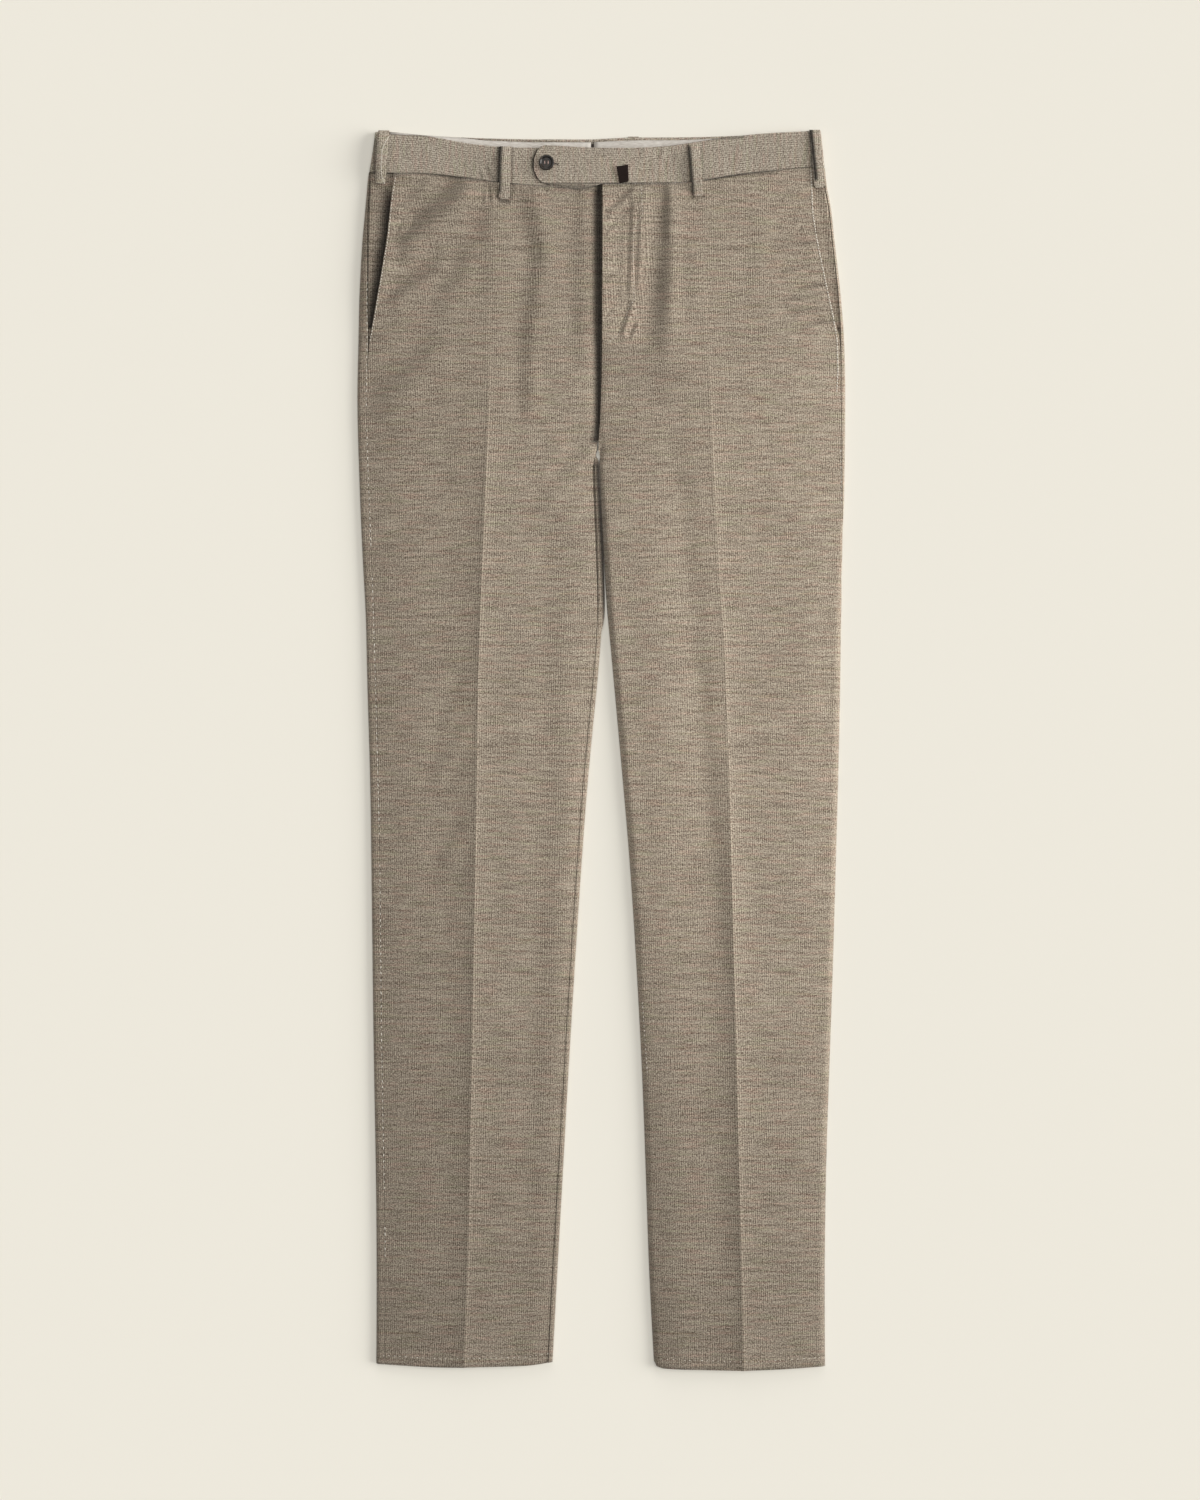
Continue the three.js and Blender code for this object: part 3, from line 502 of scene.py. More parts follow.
# How far the painted shade reaches beside the gap between the legs, and how the backs close it: by how
# much, to which side
GAP_REACH = 5.0
GAP_CLOSED = {"right": 2.6, "left": -2.4}
GAP_SIDES = (9, 7)
GAP_FOOT = (112, 14)
# Zones of the top layer that are cut finer: low x, low y, high x, high y
FINE_ZONES = {
    "left": (
        (-10, -270, 250, 610), (1, 300, 48, 549), (52, 380, 74, 549), (176, 384, 236, 566),
        (96, 545, 172, 566),
    ),
    "right": ((-250, -520, 10, 610), (-60, 245, -4, 305), (-18, 390, 2, 549), (-225, 420, -186, 540)),
}


# Soft creases of the backs where they lift a little off the surface, listed like the fronts' folds
BACK_FOLDS = {
    "right": (
        (-106, 480, -119, 20, 1.5, 5, 60),
        (-119, 20, -124, -295, 1.4, 5, 60),
        (-124, -295, -131, -560, 1.5, 4.5, 60),
        (-28, 336, -138, 274, 1.4, 12, 50),
        (-22, 292, -96, 208, 1.2, 10, 40),
        (-196, 520, -132, 462, 1, 11, 44),
        (-70, 540, -62, 430, 1.2, 7, 50),
        (-168, 44, -86, 8, 1, 9, 40),
        (-158, -30, -92, -52, 0.85, 8, 34),
        (-186, 372, -172, 236, 0.85, 14, 60),
    ),
    "left": (
        (101, 480, 121, 70, 1.5, 5, 60),
        (121, 70, 131, -255, 1.4, 5, 60),
        (131, -255, 139, -550, 1.4, 4.5, 60),
        (22, 344, 126, 292, 1.4, 12, 50),
        (24, 296, 80, 196, 1, 11, 40),
        (186, 528, 120, 482, 1, 10, 44),
        (54, 536, 58, 452, 1, 7, 40),
        (96, 34, 172, -6, 1, 10, 40),
        (104, -66, 160, -82, 0.68, 8, 34),
        (196, 340, 180, 190, 0.85, 13, 60),
    ),
}
# The left side's ease over hip and knee, and where it begins and ends, across and along the leg
SIDE_EASE = 2.6
SIDE_INNER = (165, 50)
SIDE_RUN = 32
SIDE_FOOT = (-420, 500)
BACK_SIDE_TOP = 552
FRONT_SIDE_TOP = 424


def ease_side(x, y, top):
    """How far the left leg's side eases out over hip and knee, below a given height on the photo."""
    below_top = step_down(y, top, SIDE_RUN)
    return SIDE_EASE * step_up(x, *SIDE_INNER) * below_top * step_up(y, *SIDE_FOOT)


def fold_heights(rows, x, y, pucker=False):
    """The height that a table's folds, or its one-sided puckers, add at each point."""
    total = np.zeros_like(x)
    for row in rows:
        fold = dict(zip(FOLD_COLUMNS, row))
        run_x = fold["to_x"] - fold["from_x"]
        run_y = fold["to_y"] - fold["from_y"]
        length = math.hypot(run_x, run_y)
        forward = ((x - fold["from_x"]) * run_x + (y - fold["from_y"]) * run_y) / length
        aside = ((x - fold["from_x"]) * run_y - (y - fold["from_y"]) * run_x) / length
        aside = aside / fold["width"]
        ends = smooth((forward + fold["end"] / 2) / fold["end"])
        ends = ends * smooth((length + fold["end"] / 2 - forward) / fold["end"])
        profile = -aside * np.exp(0.5 - aside**2 / 2) if pucker else np.exp(-(aside**2))
        total += fold["height"] * ends * profile
    return total


def edge_heights(side, x, y):
    """How far a front's crease, inner edge, fly edge and right pocket mouth stand up from it."""
    from_crease = x - along(CREASE[side], y)
    rise = np.zeros_like(x)
    for shape, start in ((CREASE_ROLL, ROLL_START), (CREASE_FOLD, FOLD_START)):
        height, before, after = shape[side]
        reach = np.where(from_crease < 0, before, after)
        rise += height * np.exp(-np.abs(from_crease) / reach) * step_down(y, *start[side])
    rise *= 1 - HEM_FLATTER * step_down(y, *HEM_START)
    height, middle, width = THIGH_RIDGE[side]
    rise += height * mound(from_crease, middle, width) * step_down(y, *RIDGE_START)

    from_inner = x - along(INNER_EDGE[side], y)
    height, middle, width = INSEAM_ROLL[side]
    roll = height * mound(from_inner, middle, width) * smooth(np.abs(from_inner) / INSEAM_FLAT)
    from_edge = x - along(CENTRE_FRONT, y)
    below_band = step_down(y, *BELOW_BAND)
    if side == "left":
        roll = roll * step_up(y, *LEFT_ROLL_FOOT)
        height, width, rim, gone = LEFT_CROWN
        crown = height * (1 - smooth(from_inner / width)) * smooth(from_inner / rim)
        roll += crown * (1 - gone * step_down(y, *CROWN_END))
        rise += roll * step_down(y, *INSEAM_START[side])
        flap = step_up(y, *FLAP_FOOT) * step_down(from_edge, *FLAP_REACH)
        return rise + FLAP_RAISE * below_band * flap
    rise += roll * step_down(y, *INSEAM_START[side])
    hollow = step_up(y, *HOLLOW_FOOT)
    rise -= FLY_HOLLOW * below_band * hollow * mound(from_edge, *HOLLOW_PLACE)
    from_mouth = x - along(MOUTH[side], y)
    mouth = step_down(from_mouth, *MOUTH_REACH) * step_up(y, *MOUTH_FOOT) * step_down(y, *MOUTH_TOP)
    return rise + MOUTH_RAISE * mouth


# The ribs' and fibres' shares in the cloth's colour and in its relief, and its dark and light ends
RIB_DRIFT = {"broad": 1.6, "fine": 0.22}
RIB_LEAST = 0.35
RIB_COLOUR = 0.32
FIBRE_COLOUR = {"grain": 0.46, "specks": 0.40, "slub": 0.28, "streak": 0.15}
FIBRE_RELIEF = {"grain": 0.6, "slub": 0.3}
DARK_NAP = (0.100, 0.072, 0.052)
LIGHT_NAP = (0.476, 0.412, 0.327)
NAP_MIDDLE = 0.46
PINK_TINT = (1.07, 0.93, 0.93, 1)
PINK_SHARE = 0.7
GREEN_TINT = (0.94, 1.0, 0.91, 1)
GREEN_SHARE = 0.75
# Broad tone: where each part begins and ends along the garment in metres, and how strong it is
BROAD_TONE = 1.09
# Painted light: lighter toward the wearer's left side, less so at the hems
SIDE_PAINTED_LIGHT = {"from": -0.8, "to": -0.1, "at_hem": 0.4, "more": 0.6}
# Painted shade: darker toward the hems
HEM_PAINTED_SHADE = {"from": -0.75, "to": 0.1, "at_hem": 0.7, "more": 0.3}
# Darker over the hips, and paler in the middle of the garment about the knees
HIP_DARKER = {"from": 0.3, "to": 0.5, "less": 0.06}
KNEE_PALER = {
    "foot": (-0.42, -0.05), "top": (0.05, 0.32), "middle": 0.03, "side": (0.03, 0.13), "more": 0.07,
}
CLOUD_WEAR = {"least": 0.94, "more": 0.12}


def corduroy(name, tone=1.0, streaks=1.0, painted_side_light=0.78, grey=1.0):
    """Fine-wale corduroy: soft ribs in broken lines, with mottled fibres and short crosswise slubs."""
    material, surface, start = new_material(name)
    place = start.node("UVMap", {"uv_map": "cloth"})

    def noise(across, lengthwise, detail=2.0, rough=0.5):
        """Noise in patches of a given size across and along the ribs, in millimetres."""
        scale = (1 / (across * MM), 1 / (lengthwise * MM), 1)
        scaled = start.node("Mapping", (), {"Vector": place, "Scale": scale})
        inputs = {"Vector": scaled, "Scale": 1.0, "Detail": detail, "Roughness": rough}
        return start.node("TexNoise", {"noise_dimensions": "2D"}, inputs)

    across = start.node("SeparateXYZ", (), {0: place})
    drift = noise(60, 220, 1.0) * RIB_DRIFT["broad"] + noise(3.0, 14, 1.0) * RIB_DRIFT["fine"]
    rib_turns = across / (WALE * MM) + drift
    rib = (rib_turns * (2 * math.pi)).math("SINE") * 0.5
    strength = noise(4.5, 18, 2.0).between(0.25, 0.75) + RIB_LEAST

    grain = noise(1.25, 1.35, 1.0, 0.6).between(0.3, 0.7) - 0.5
    specks = noise(2.1, 1.2, 1.0, 0.6).between(0.3, 0.7) - 0.5
    slub = noise(20, 1.9, 2.0, 0.6).between(0.25, 0.75) - 0.5
    streak = noise(70, 3.2, 1.0, 0.5).between(0.25, 0.75) - 0.5
    share = FIBRE_COLOUR
    pale = rib * strength * RIB_COLOUR + grain * share["grain"] + specks * share["specks"]
    pale = pale + (slub * share["slub"] + streak * share["streak"]) * streaks
    dark, light = (
        (red * tone, green * tone * grey, blue * tone * grey**2, 1)
        for red, green, blue in (DARK_NAP, LIGHT_NAP)
    )
    colour = (pale + NAP_MIDDLE).blend(dark, light)
    pink = noise(28, 3.0, 2.0).between(0.48, 0.72)
    colour = (pink * PINK_SHARE).blend(colour, PINK_TINT, "MULTIPLY")
    green = noise(36, 4.5, 2.0).between(0.5, 0.75)
    colour = (green * GREEN_SHARE).blend(colour, GREEN_TINT, "MULTIPLY")

    spot = start.node("TexCoord", out=3)
    spot_x = start.node("SeparateXYZ", (), {0: spot})
    spot_y = start.node("SeparateXYZ", (), {0: spot}, out=1)
    # Painted light and shade over the cloth's colour: lighter toward the wearer's left, darker toward
    # the hems, and darker along the painted shading that each piece stores
    gradient = SIDE_PAINTED_LIGHT
    leftward = spot_y.between(gradient["from"], gradient["to"]) * gradient["more"] + gradient["at_hem"]
    painted_left_light = spot_x * painted_side_light * leftward + BROAD_TONE
    gradient = HEM_PAINTED_SHADE
    darker_hem = spot_y.between(gradient["from"], gradient["to"]) * gradient["more"] + gradient["at_hem"]
    darker_hip = 1 - spot_y.between(HIP_DARKER["from"], HIP_DARKER["to"]) * HIP_DARKER["less"]
    gradient = KNEE_PALER
    knees = spot_y.between(*gradient["foot"]) * (1 - spot_y.between(*gradient["top"]))
    aside = (spot_x - gradient["middle"]).math("ABSOLUTE")
    knees = knees * (1 - aside.between(*gradient["side"])) * gradient["more"] + 1
    cloud = noise(110, 45, 1.0) * CLOUD_WEAR["more"] + CLOUD_WEAR["least"]
    painted_shading = start.node("Attribute", {"attribute_name": "painted_shading"}, out=2)
    tone_and_painted_shading = cloud * knees * painted_left_light * darker_hem * darker_hip * (1 - painted_shading)
    colour = start.node("HueSaturation", (), {"Value": tone_and_painted_shading, "Color": colour})

    feed(surface, "Base Color", colour)
    surface.inputs["Roughness"].default_value = 0.92
    surface.inputs["Specular IOR Level"].default_value = 0.25
    surface.inputs["Sheen Weight"].default_value = 0.2
    surface.inputs["Sheen Roughness"].default_value = 0.5
    height = rib * strength + grain * FIBRE_RELIEF["grain"]
    height = height + slub * (FIBRE_RELIEF["slub"] * streaks)
    bump_inputs = {"Strength": 0.4, "Distance": 0.35 * MM, "Height": height}
    feed(surface, "Normal", start.node("Bump", (), bump_inputs))
    return material


leg_corduroy = corduroy("leg_corduroy")
# How high the cloth lies where its ribs are counted from, for the backs and the fronts
BACK_HEIGHT = 0.8
FRONT_HEIGHT = 7
# A paler strip along a crease: its upper end, and its reach and amount; and the painted shade beside
# the gap
CREASE_TOP = 460
CREASE_PALER = (4.5, -0.06)
GAP_SHADE = 0.9

back_pieces = {}
for side in ("right", "left"):
    piece = add_piece(f"back_{side}", cloth_wall(f"back_panel_{side}"))
    refine(piece, levels=2)
    points = points_of(piece)
    x, y, z = points.T
    from_gap = distance_to(LEG_GAP, x, y)
    points[:, 2] += fold_heights(BACK_FOLDS[side], x, y)
    points[:, 0] += GAP_CLOSED[side] * step_down(from_gap, *GAP_SIDES) * step_up(y, *GAP_FOOT)
    points[:, 0] += ease_side(x, y, BACK_SIDE_TOP)
    set_points(piece, points)
    paint_shading(piece, ((LEG_GAP, GAP_REACH, GAP_SHADE),))
    lay_ribs(piece, from_crease_round(side, x, y, z, BACK_HEIGHT), y)
    piece.data.materials.append(leg_corduroy)
    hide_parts(f"back_panel_{side}")
    back_pieces[side] = piece

front_pieces = {}
for side in ("right", "left"):
    piece = add_piece(f"front_{side}", cloth_wall(f"front_panel_{side}"))
    refine(piece, levels=2)
    for zone in FINE_ZONES[side]:
        refine_zone(piece, zone, cuts=1)
    points = points_of(piece)
    x, y, z = points.T
    on_top = step_up(z, TOP_LAYER, TOP_FADE)
    shape = fold_heights(FRONT_FOLDS[side], x, y)
    shape += fold_heights(FRONT_PUCKERS[side], x, y, pucker=True)
    points[:, 2] += on_top * (shape + edge_heights(side, x, y))
    points[:, 0] += ease_side(x, y, FRONT_SIDE_TOP)
    set_points(piece, points)
    crease_line = [(across, up) for up, across in CREASE[side] if up < CREASE_TOP]
    paint_shading(piece, (*LEG_PAINTED_SHADE[side], (crease_line, *CREASE_PALER)))
    lay_ribs(piece, from_crease_round(side, x, y, z, FRONT_HEIGHT), y)
    piece.data.materials.append(leg_corduroy)
    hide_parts(f"front_panel_{side}")
    front_pieces[side] = piece


# Slant pocket facings. A strip of the same corduroy lies behind each pocket mouth and is sewn into the
# side seam. The right mouth stands open above it, and only a narrow edge of the left one shows.

FACING_HEIGHT = 5
# Painted shade on each facing beside its pocket mouth: the mouth's upper end, and the reach and amount
MOUTH_SHADE_TOP = 545
MOUTH_SHADE = {"right": (15, 0.92), "left": (2.2, 0.4)}
for side in ("right", "left"):
    piece = add_piece(f"pocket_facing_{side}_cloth", cloth_wall(f"pocket_facing_{side}"))
    refine(piece, levels=2)
    points = points_of(piece)
    x, y, z = points.T
    points[:, 0] += ease_side(x, y, BACK_SIDE_TOP)
    set_points(piece, points)
    lay_ribs(piece, from_crease_round(side, x, y, z, FACING_HEIGHT), y)
    mouth_line = [(place, height) for height, place in MOUTH[side] if height < MOUTH_SHADE_TOP]
    paint_shading(piece, ((mouth_line, *MOUTH_SHADE[side]),))
    piece.data.materials.append(leg_corduroy)
    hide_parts(f"pocket_facing_{side}")


# Waistband. Two halves of doubled corduroy with the ribs running round the waist, each from the
# centre back round the side to the front. The left one ends in a rounded tab over the right one.

WAIST_LINE = {
    "right": ((-236, 600), (-168, 596), (-131, 588.3), (-96, 584.4), (30, 583)),
    "left": ((-64, 584), (33, 583.5), (67.5, 585.4), (102.5, 591.2), (156, 597.7), (236, 601)),
}
# Painted light: the band is a lighter copy of the legs' corduroy, with weaker painted side light
band_corduroy = corduroy("band_corduroy", tone=1.14, streaks=0.5, painted_side_light=0.2, grey=1.035)
BAND_FINE_ZONE = (-124, 548, 84, 590)
BAND_TOP_LAYER = (5, 2)
BAND_PUCKERS = {
    "right": ((-110, 567, -104, 553, 0.7, 2.2, 6), (-116, 562, -113, 552, 0.45, 1.8, 5)),
    "left": (
        (60, 583, 57, 573, 0.6, 2.0, 5),
        (73, 580, 72, 566, 0.4, 2.2, 7),
        (40, 584, 38, 572, 0.3, 3, 8),
    ),
}
TAB_TIP = (
    (-38, 587.6), (-53, 586), (-61, 580), (-64.5, 572.5), (-64.5, 565), (-61, 556), (-50, 549),
)
TAB_BELOW = ((-50, 549), (-38, 546.5), (0, 546))
LOOP_GAPS = {
    "right": (((-96.5, 585), (-98, 542)), ((-218.5, 592), (-219, 553))),
    "left": (((86.5, 584), (90, 540)), ((204.2, 600), (209.2, 554))),
}
BACK_EDGE = (
    (-206, 598), (-150, 594.5), (-90, 590.5), (-7, 589.5), (60, 590), (120, 593), (140, 595),
)
# Painted shade on the band: darker along the back edge, round and under the tab's tip and beside the
# belt loops; each with its line, reach and amount
BAND_PAINTED_SHADE = {
    "right": (
        (BACK_EDGE, 1.8, 0.6),
        (TAB_TIP, 3.2, 0.95),
        (TAB_BELOW, 2.2, 0.6),
        (((-84.6, 584), (-85.4, 550)), 1.8, 0.4),
        (LOOP_GAPS["right"][0], 5.5, 0.88),
        (LOOP_GAPS["right"][1], 3, 0.5),
    ),
    "left": (
        (BACK_EDGE, 1.8, 0.6),
        (LOOP_GAPS["left"][0], 4, 0.85),
        (((98.5, 585), (102.2, 548)), 1.6, 0.3),
        (LOOP_GAPS["left"][1], 3.2, 0.95),
    ),
}
band_pieces = {}
for side in ("right", "left"):
    piece = add_piece(f"waistband_{side}_cloth", cloth_wall(f"waistband_{side}"))
    refine(piece, levels=3)
    refine_zone(piece, BAND_FINE_ZONE, cuts=1)
    points = points_of(piece)
    x, y, z = points.T
    puckers = fold_heights(BAND_PUCKERS[side], x, y, pucker=True)
    points[:, 2] += step_up(z, *BAND_TOP_LAYER) * puckers
    set_points(piece, points)
    paint_shading(piece, BAND_PAINTED_SHADE[side])
    lay_ribs(piece, y - along(WAIST_LINE[side], x) + z, x)
    piece.data.materials.append(band_corduroy)
    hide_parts(f"waistband_{side}")
    band_pieces[side] = piece


# Waist lining. Pale grey woven lining of the back waistband, seen above the front edge, in two halves.
# A short dark brown strip lies between them at the centre back.

lining_cloth, lining_surface, start = new_material("grey_lining")
spot = start.node("UVMap", {"uv_map": "cloth"})
LINING_THREAD = (0.5, 6)
thread_scale = (1 / (LINING_THREAD[0] * MM), 1 / (LINING_THREAD[1] * MM), 1)
thread_place = start.node("Mapping", (), {"Vector": spot, "Scale": thread_scale})
threads = start.node("TexNoise", {"noise_dimensions": "2D"}, {"Vector": thread_place, "Scale": 1.0})
lining_tone = threads.between(0.3, 0.7).blend((0.44, 0.40, 0.36, 1), (0.62, 0.585, 0.54, 1))
feed(lining_surface, "Base Color", lining_tone)
lining_surface.inputs["Roughness"].default_value = 0.55
lining_surface.inputs["Sheen Weight"].default_value = 0.2
# The lining's upper edge lies lower in the middle of the waist and higher at its ends: amount, and
# from where on
LINING_DROP = (1.3, 150, 90)
LINING_RISE = (1.4, 110, 30)
LINING_TOP = (565, 20)
for side in ("right", "left"):
    piece = add_piece(f"waist_lining_{side}_cloth", cloth_wall(f"waist_lining_{side}"))
    refine(piece, levels=2)
    points = points_of(piece)
    x, y, z = points.T
    drop, *drop_span = LINING_DROP
    rise, *rise_span = LINING_RISE
    lowered = drop * step_down(np.abs(x), *drop_span) - rise * step_up(np.abs(x), *rise_span)
    points[:, 1] -= lowered * step_up(y, *LINING_TOP)
    set_points(piece, points)
    lay_ribs(piece, y, x)
    piece.data.materials.append(lining_cloth)
    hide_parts(f"waist_lining_{side}")

CENTRE_BACK = (-7.3, 571.5, 2.06)
STRIP_CUT = (0.010, 0.034)
STRIP_THICKNESS = 0.15
strip_cloth, strip_surface, start = new_material("dark_brown_cloth")
spot = start.node("TexCoord", out=3)
strip_threads = start.node("TexNoise", (), {"Vector": spot, "Scale": 1400.0, "Detail": 2.0})
strip_tone = strip_threads.blend((0.020, 0.014, 0.011, 1), (0.050, 0.036, 0.030, 1))
feed(strip_surface, "Base Color", strip_tone)
strip_surface.inputs["Roughness"].default_value = 0.85
strip = bmesh.new()
bmesh.ops.create_grid(strip, x_segments=6, y_segments=16, size=0.5)
bmesh.ops.scale(strip, vec=(*STRIP_CUT, 1), verts=strip.verts)
bmesh.ops.translate(strip, vec=Vector(CENTRE_BACK) * MM, verts=strip.verts)
strip_piece = add_piece("centre_back_strip", strip)
strip_wall = strip_piece.modifiers.new("wall", "SOLIDIFY")
strip_wall.thickness = STRIP_THICKNESS * MM
strip_wall.offset = 1
strip_piece.data.materials.append(strip_cloth)


# Belt loops. Folded strips of corduroy, ribs lengthwise, sewn at both ends: two in front and two at
# the sides over the waistband, and two at the back under the garment.

# Painted light: the loops are a lighter copy of the legs' corduroy, with weaker painted side light
loop_corduroy = corduroy("loop_corduroy", tone=1.24, streaks=0.3, painted_side_light=0.2, grey=1.035)
# How far a visible loop's middle stands up, where that begins and its run from each end
LOOP_ARCH = {"front_right": 2.2, "front_left": 2.2, "side_right": 2.2, "side_left": 0.5}
ARCH_RUN = (3, 12)
# The lower end of a loop is drawn in toward its middle, which is found over a longer stretch
END_NARROWER = 0.32
END_LENGTH = 3.5
END_MIDDLE = 6
# Painted shade on each visible loop beside its gap: reach and amount
LOOP_SHADE = {
    "front_right": (4.2, 0.88),
    "front_left": (3.4, 0.85),
    "side_right": (8, 0.45),
    "side_left": (4, 0.95),
}
LOOP_SIDES = {
    "front_right": "right",
    "front_left": "left",
    "side_right": "right",
    "side_left": "left",
    "back_right": "right",
    "back_left": "left",
}
loop_pieces = {}
for loop, side in LOOP_SIDES.items():
    piece = add_piece(f"loop_{loop}", cloth_wall(f"belt_loop_{loop}"))
    refine(piece, levels=3)
    points = points_of(piece)
    x, y, z = points.T
    lay_ribs(piece, x + z, y)
    if loop in LOOP_ARCH:
        from_end = np.minimum(y - y.min(), y.max() - y)
        points[:, 2] += LOOP_ARCH[loop] * step_up(from_end, *ARCH_RUN)
        to_end = np.clip((y.min() + END_LENGTH - y) / END_LENGTH, 0, 1)
        middle = np.median(x[y < y.min() + END_MIDDLE])
        points[:, 0] = x + (middle - x) * END_NARROWER * to_end**2
        set_points(piece, points)
        gap = LOOP_GAPS[side][0 if loop.startswith("front") else 1]
        paint_shading(piece, ((gap, *LOOP_SHADE[loop]),))
    piece.data.materials.append(loop_corduroy)
    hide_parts(f"belt_loop_{loop}")
    loop_pieces[loop] = piece


# Prong keeper. A small tab of dark brown woven tape for a belt's prong. It is folded and sewn onto the
# left half of the waistband, above the fly.

tape, tape_surface, start = new_material("woven_tape")
spot = start.node("UVMap", {"uv_map": "cloth"})
TAPE_CHECK = (0.9, 0.5)
tape_scale = (1 / (TAPE_CHECK[0] * MM), 1 / (TAPE_CHECK[1] * MM), 1)
tape_place = start.node("Mapping", (), {"Vector": spot, "Scale": tape_scale})
tape_weave = start.node("TexChecker", (), {"Vector": tape_place, "Scale": 1.0}, out=1)
tape_tone = tape_weave.blend((0.009, 0.005, 0.004, 1), (0.020, 0.012, 0.010, 1))
feed(tape_surface, "Base Color", tape_tone)
tape_surface.inputs["Roughness"].default_value = 0.9
tape_surface.inputs["Specular IOR Level"].default_value = 0.15
tape_bump = {"Strength": 0.5, "Distance": 0.1 * MM, "Height": tape_weave}
feed(tape_surface, "Normal", start.node("Bump", (), tape_bump))
keeper = add_piece("prong_keeper_tape", cloth_wall("prong_keeper"))
refine(keeper, levels=2)
x, y, z = points_of(keeper).T
lay_ribs(keeper, x, y)
keeper.data.materials.append(tape)
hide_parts("prong_keeper")


# Waist button. A four-hole button of polished dark brown horn, sewn through the tab. It keeps the
# form of its solid, and only its material is made here.

HORN_STREAKS = (260, 60, 260)
horn, horn_surface, start = new_material("dark_horn")
spot = start.node("TexCoord", out=3)
streak_place = start.node("Mapping", (), {"Vector": spot, "Scale": HORN_STREAKS})
streaks = start.node("TexNoise", (), {"Vector": streak_place, "Scale": 1.0, "Detail": 3.0})
horn_tone = streaks.between(0.35, 0.7).blend((0.006, 0.005, 0.004, 1), (0.030, 0.021, 0.015, 1))
feed(horn_surface, "Base Color", horn_tone)
horn_surface.inputs["Roughness"].default_value = 0.3
horn_surface.inputs["Specular IOR Level"].default_value = 0.35
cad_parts["waist_button"].material_slots[0].material = horn


# Sewing. Small stitches of pale cotton thread: the curved fly seam, the seam under the waistband, both
# pocket edges, dashes down the outseam and inseam, the hems, and the edge of the right side loop.

def thread_material(name, scale, dark, light):
    """A matt thread material whose tone wanders between two colours."""
    material, surface, start = new_material(name)
    spot = start.node("TexCoord", out=3)
    twist = start.node("TexNoise", (), {"Vector": spot, "Scale": scale, "Detail": 2.0})
    feed(surface, "Base Color", twist.blend(dark, light))
    surface.inputs["Roughness"].default_value = 0.8
    return material


cotton = thread_material("cotton_thread", 900.0, (0.50, 0.455, 0.39, 1), (0.82, 0.77, 0.69, 1))
STITCH_WANDER = 0.12
STITCH_TILT = 0.3
STITCH_SIZES = (0.8, 1.15)
STITCH_FLATTER = 0.5
STITCH_RAISED = 0.1
RAY_HEIGHT = 0.05

bpy.context.view_layer.update()
chance = np.random.default_rng(seed=7)


def top_of(cloths, x, y):
    """The height of the highest cloth at a point, in metres, or none beside the cloth."""
    heights = []
    for cloth in cloths:
        hit, spot, _, _ = cloth.ray_cast(Vector((x * MM, y * MM, RAY_HEIGHT)), Vector((0, 0, -1)))
        if hit:
            heights.append(spot.z)
    return max(heights, default=None)


def sew(name, cloths, seams, thread):
    """Lays small stitches along each seam: its points, the spacing, and a stitch's length and width."""
    stitches = bmesh.new()
    for line, spacing, stitch, width in seams:
        line = np.array(line, dtype=float)
        legs = np.hypot(*np.diff(line, axis=0).T)
        reach = np.concatenate([[0], np.cumsum(legs)])
        for place in np.arange(spacing / 2, reach[-1], spacing):
            place += chance.uniform(-STITCH_WANDER, STITCH_WANDER) * spacing
            x, y = (np.interp(place, reach, line[:, axis]) for axis in (0, 1))
            x_on, y_on = (np.interp(place + 1, reach, line[:, axis]) for axis in (0, 1))
            turn = math.atan2(y_on - y, x_on - x) if place + 1 < reach[-1] else turn
            tilt = chance.uniform(-STITCH_TILT, STITCH_TILT)
            height = top_of(cloths, x, y)
            if height is None:
                continue
            half = 0.5 * MM * chance.uniform(*STITCH_SIZES)
            size = Vector((stitch, width, STITCH_FLATTER * width)) * half
            where = Vector((x * MM, y * MM, height + STITCH_RAISED * width * MM))
            form = Matrix.LocRotScale(where, Euler((0, 0, turn + tilt)), size)
            bmesh.ops.create_icosphere(stitches, subdivisions=1, radius=1, matrix=form)
    piece = add_piece(name, stitches)
    piece.data.materials.append(thread)
    return piece


FLY_SEAM = (
    (39.8, 548), (41.2, 519), (33, 506), (32, 475), (33, 436), (28.6, 431), (22.8, 413), (17, 402),
    (5.3, 392.4),
)
sew("fly_stitching", [front_pieces["left"]], ((FLY_SEAM, 3.4, 2.2, 0.55),), cotton)
BAND_SEAM = ((4, 548.6), (66, 549.4), (84, 550.2))
POCKET_EDGE = (
    (204.6, 563), (206.2, 521), (210.4, 494), (216.8, 463), (221, 443), (225.3, 424), (228.8, 405),
    (230, 397), (230.8, 368), (229.6, 347),
)
LEFT_INSEAM = ((41, -243), (46, -316))
LEFT_SIDE = ((233.6, 292), (234.4, 236))
LEFT_HEM = ((57, -590.5), (130, -593), (172, -592), (215, -589.3))
sew(
    "left_leg_stitching",
    [front_pieces["left"], back_pieces["left"]],
    (
        (BAND_SEAM, 2.6, 1.7, 0.5),
        (POCKET_EDGE, 2.7, 2.5, 1.4),
        (LEFT_INSEAM, 4.5, 2.6, 0.8),
        (LEFT_SIDE, 5.0, 3.0, 0.8),
        (LEFT_HEM, 5.5, 2.0, 0.6),
    ),
    cotton,
)
RIGHT_OUTSEAM = (
    (-224, 540), (-224.5, 480), (-226, 455), (-226, 397), (-227, 339), (-225.5, 281), (-221, 164),
    (-218, 67), (-214, -88), (-212, -282), (-208.5, -476), (-209, -590),
)
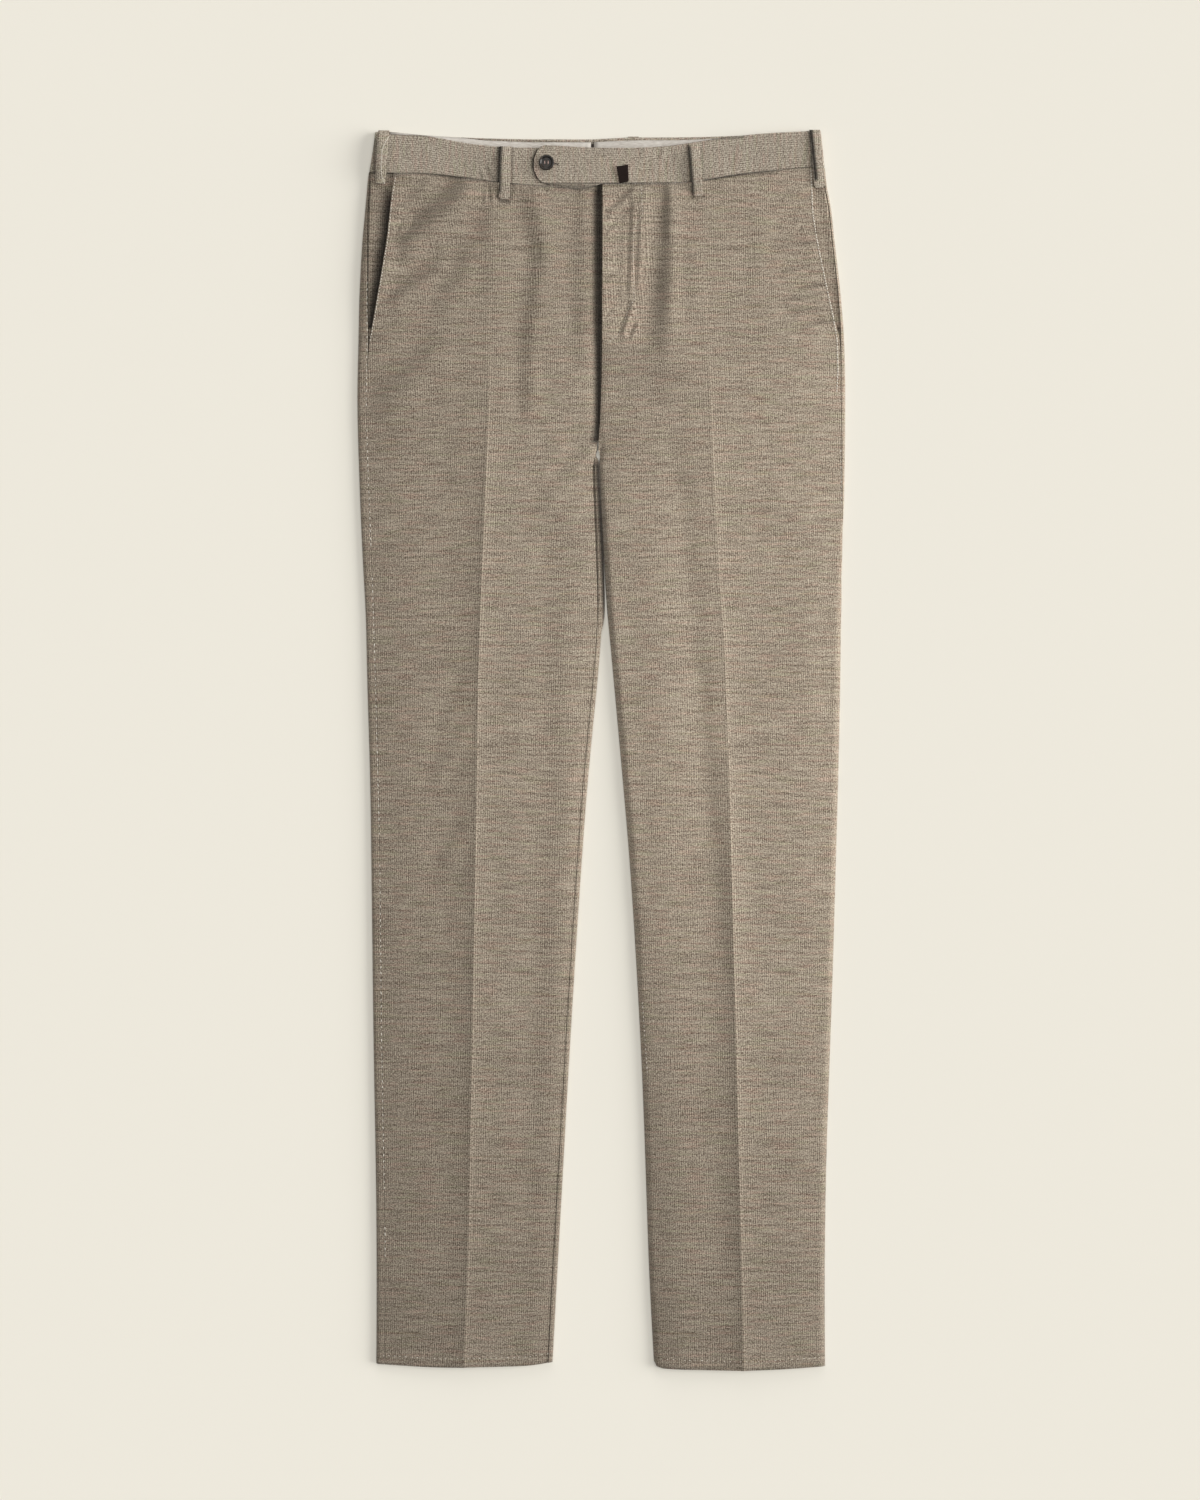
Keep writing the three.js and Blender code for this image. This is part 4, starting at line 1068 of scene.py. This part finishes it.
RIGHT_MOUTH = (
    (-198.3, 556), (-201.4, 534), (-205.2, 498), (-211, 462), (-218.3, 420), (-223.5, 395),
)
RIGHT_HEM = ((-213, -587), (-155, -590.3), (-70, -588.8), (-50, -585.4))
sew(
    "right_leg_stitching",
    [front_pieces["right"], back_pieces["right"]],
    (
        (RIGHT_OUTSEAM, 6.5, 3.4, 0.9),
        (RIGHT_MOUTH, 3.0, 2.3, 0.9),
        (RIGHT_HEM, 5.5, 2.0, 0.6),
    ),
    cotton,
)
LOOP_EDGE = ((-203.8, 596), (-207.5, 589), (-211, 581.5), (-212, 566), (-211.5, 556), (-209, 549))
sew("side_loop_edge", [loop_pieces["side_right"]], ((LOOP_EDGE, 1.6, 2.0, 0.8),), cotton)


# Button thread and buttonhole. Pale thread through the four holes in two upright bars, and the dark
# sewn end of the buttonhole beside the button.

BUTTON = (-51.9, 568.9, 11.75)
HOLE_OFFSET = 1.7
BAR_STRANDS = (-0.3, 0, 0.3)
STRAND_SIZE = (0.22, 1.9, 0.36)
STRAND_OFFSET = 0.4
STRAND_TURN = 0.2
pink_cotton = thread_material(
    "pink_brown_thread", 1500.0, (0.25, 0.17, 0.15, 1), (0.52, 0.38, 0.34, 1)
)
bars = bmesh.new()
for bar in (-HOLE_OFFSET, HOLE_OFFSET):
    for strand in BAR_STRANDS:
        across, up, height = BUTTON
        where = Vector((across + bar + strand, up + strand * STRAND_OFFSET, height)) * MM
        turn = Euler((0, 0, strand * STRAND_TURN))
        form = Matrix.LocRotScale(where, turn, Vector(STRAND_SIZE) * MM)
        bmesh.ops.create_icosphere(bars, subdivisions=2, radius=1, matrix=form)
button_thread = add_piece("button_thread", bars)
button_thread.data.materials.append(pink_cotton)
dark_cotton = thread_material(
    "dark_cotton_thread", 900.0, (0.025, 0.018, 0.014, 1), (0.075, 0.055, 0.042, 1)
)
BUTTONHOLE = ((-44.2, 568.2), (-40.4, 567.6))
sew("buttonhole_thread", [band_pieces["left"]], ((BUTTONHOLE, 0.8, 1.5, 1.5),), dark_cotton)
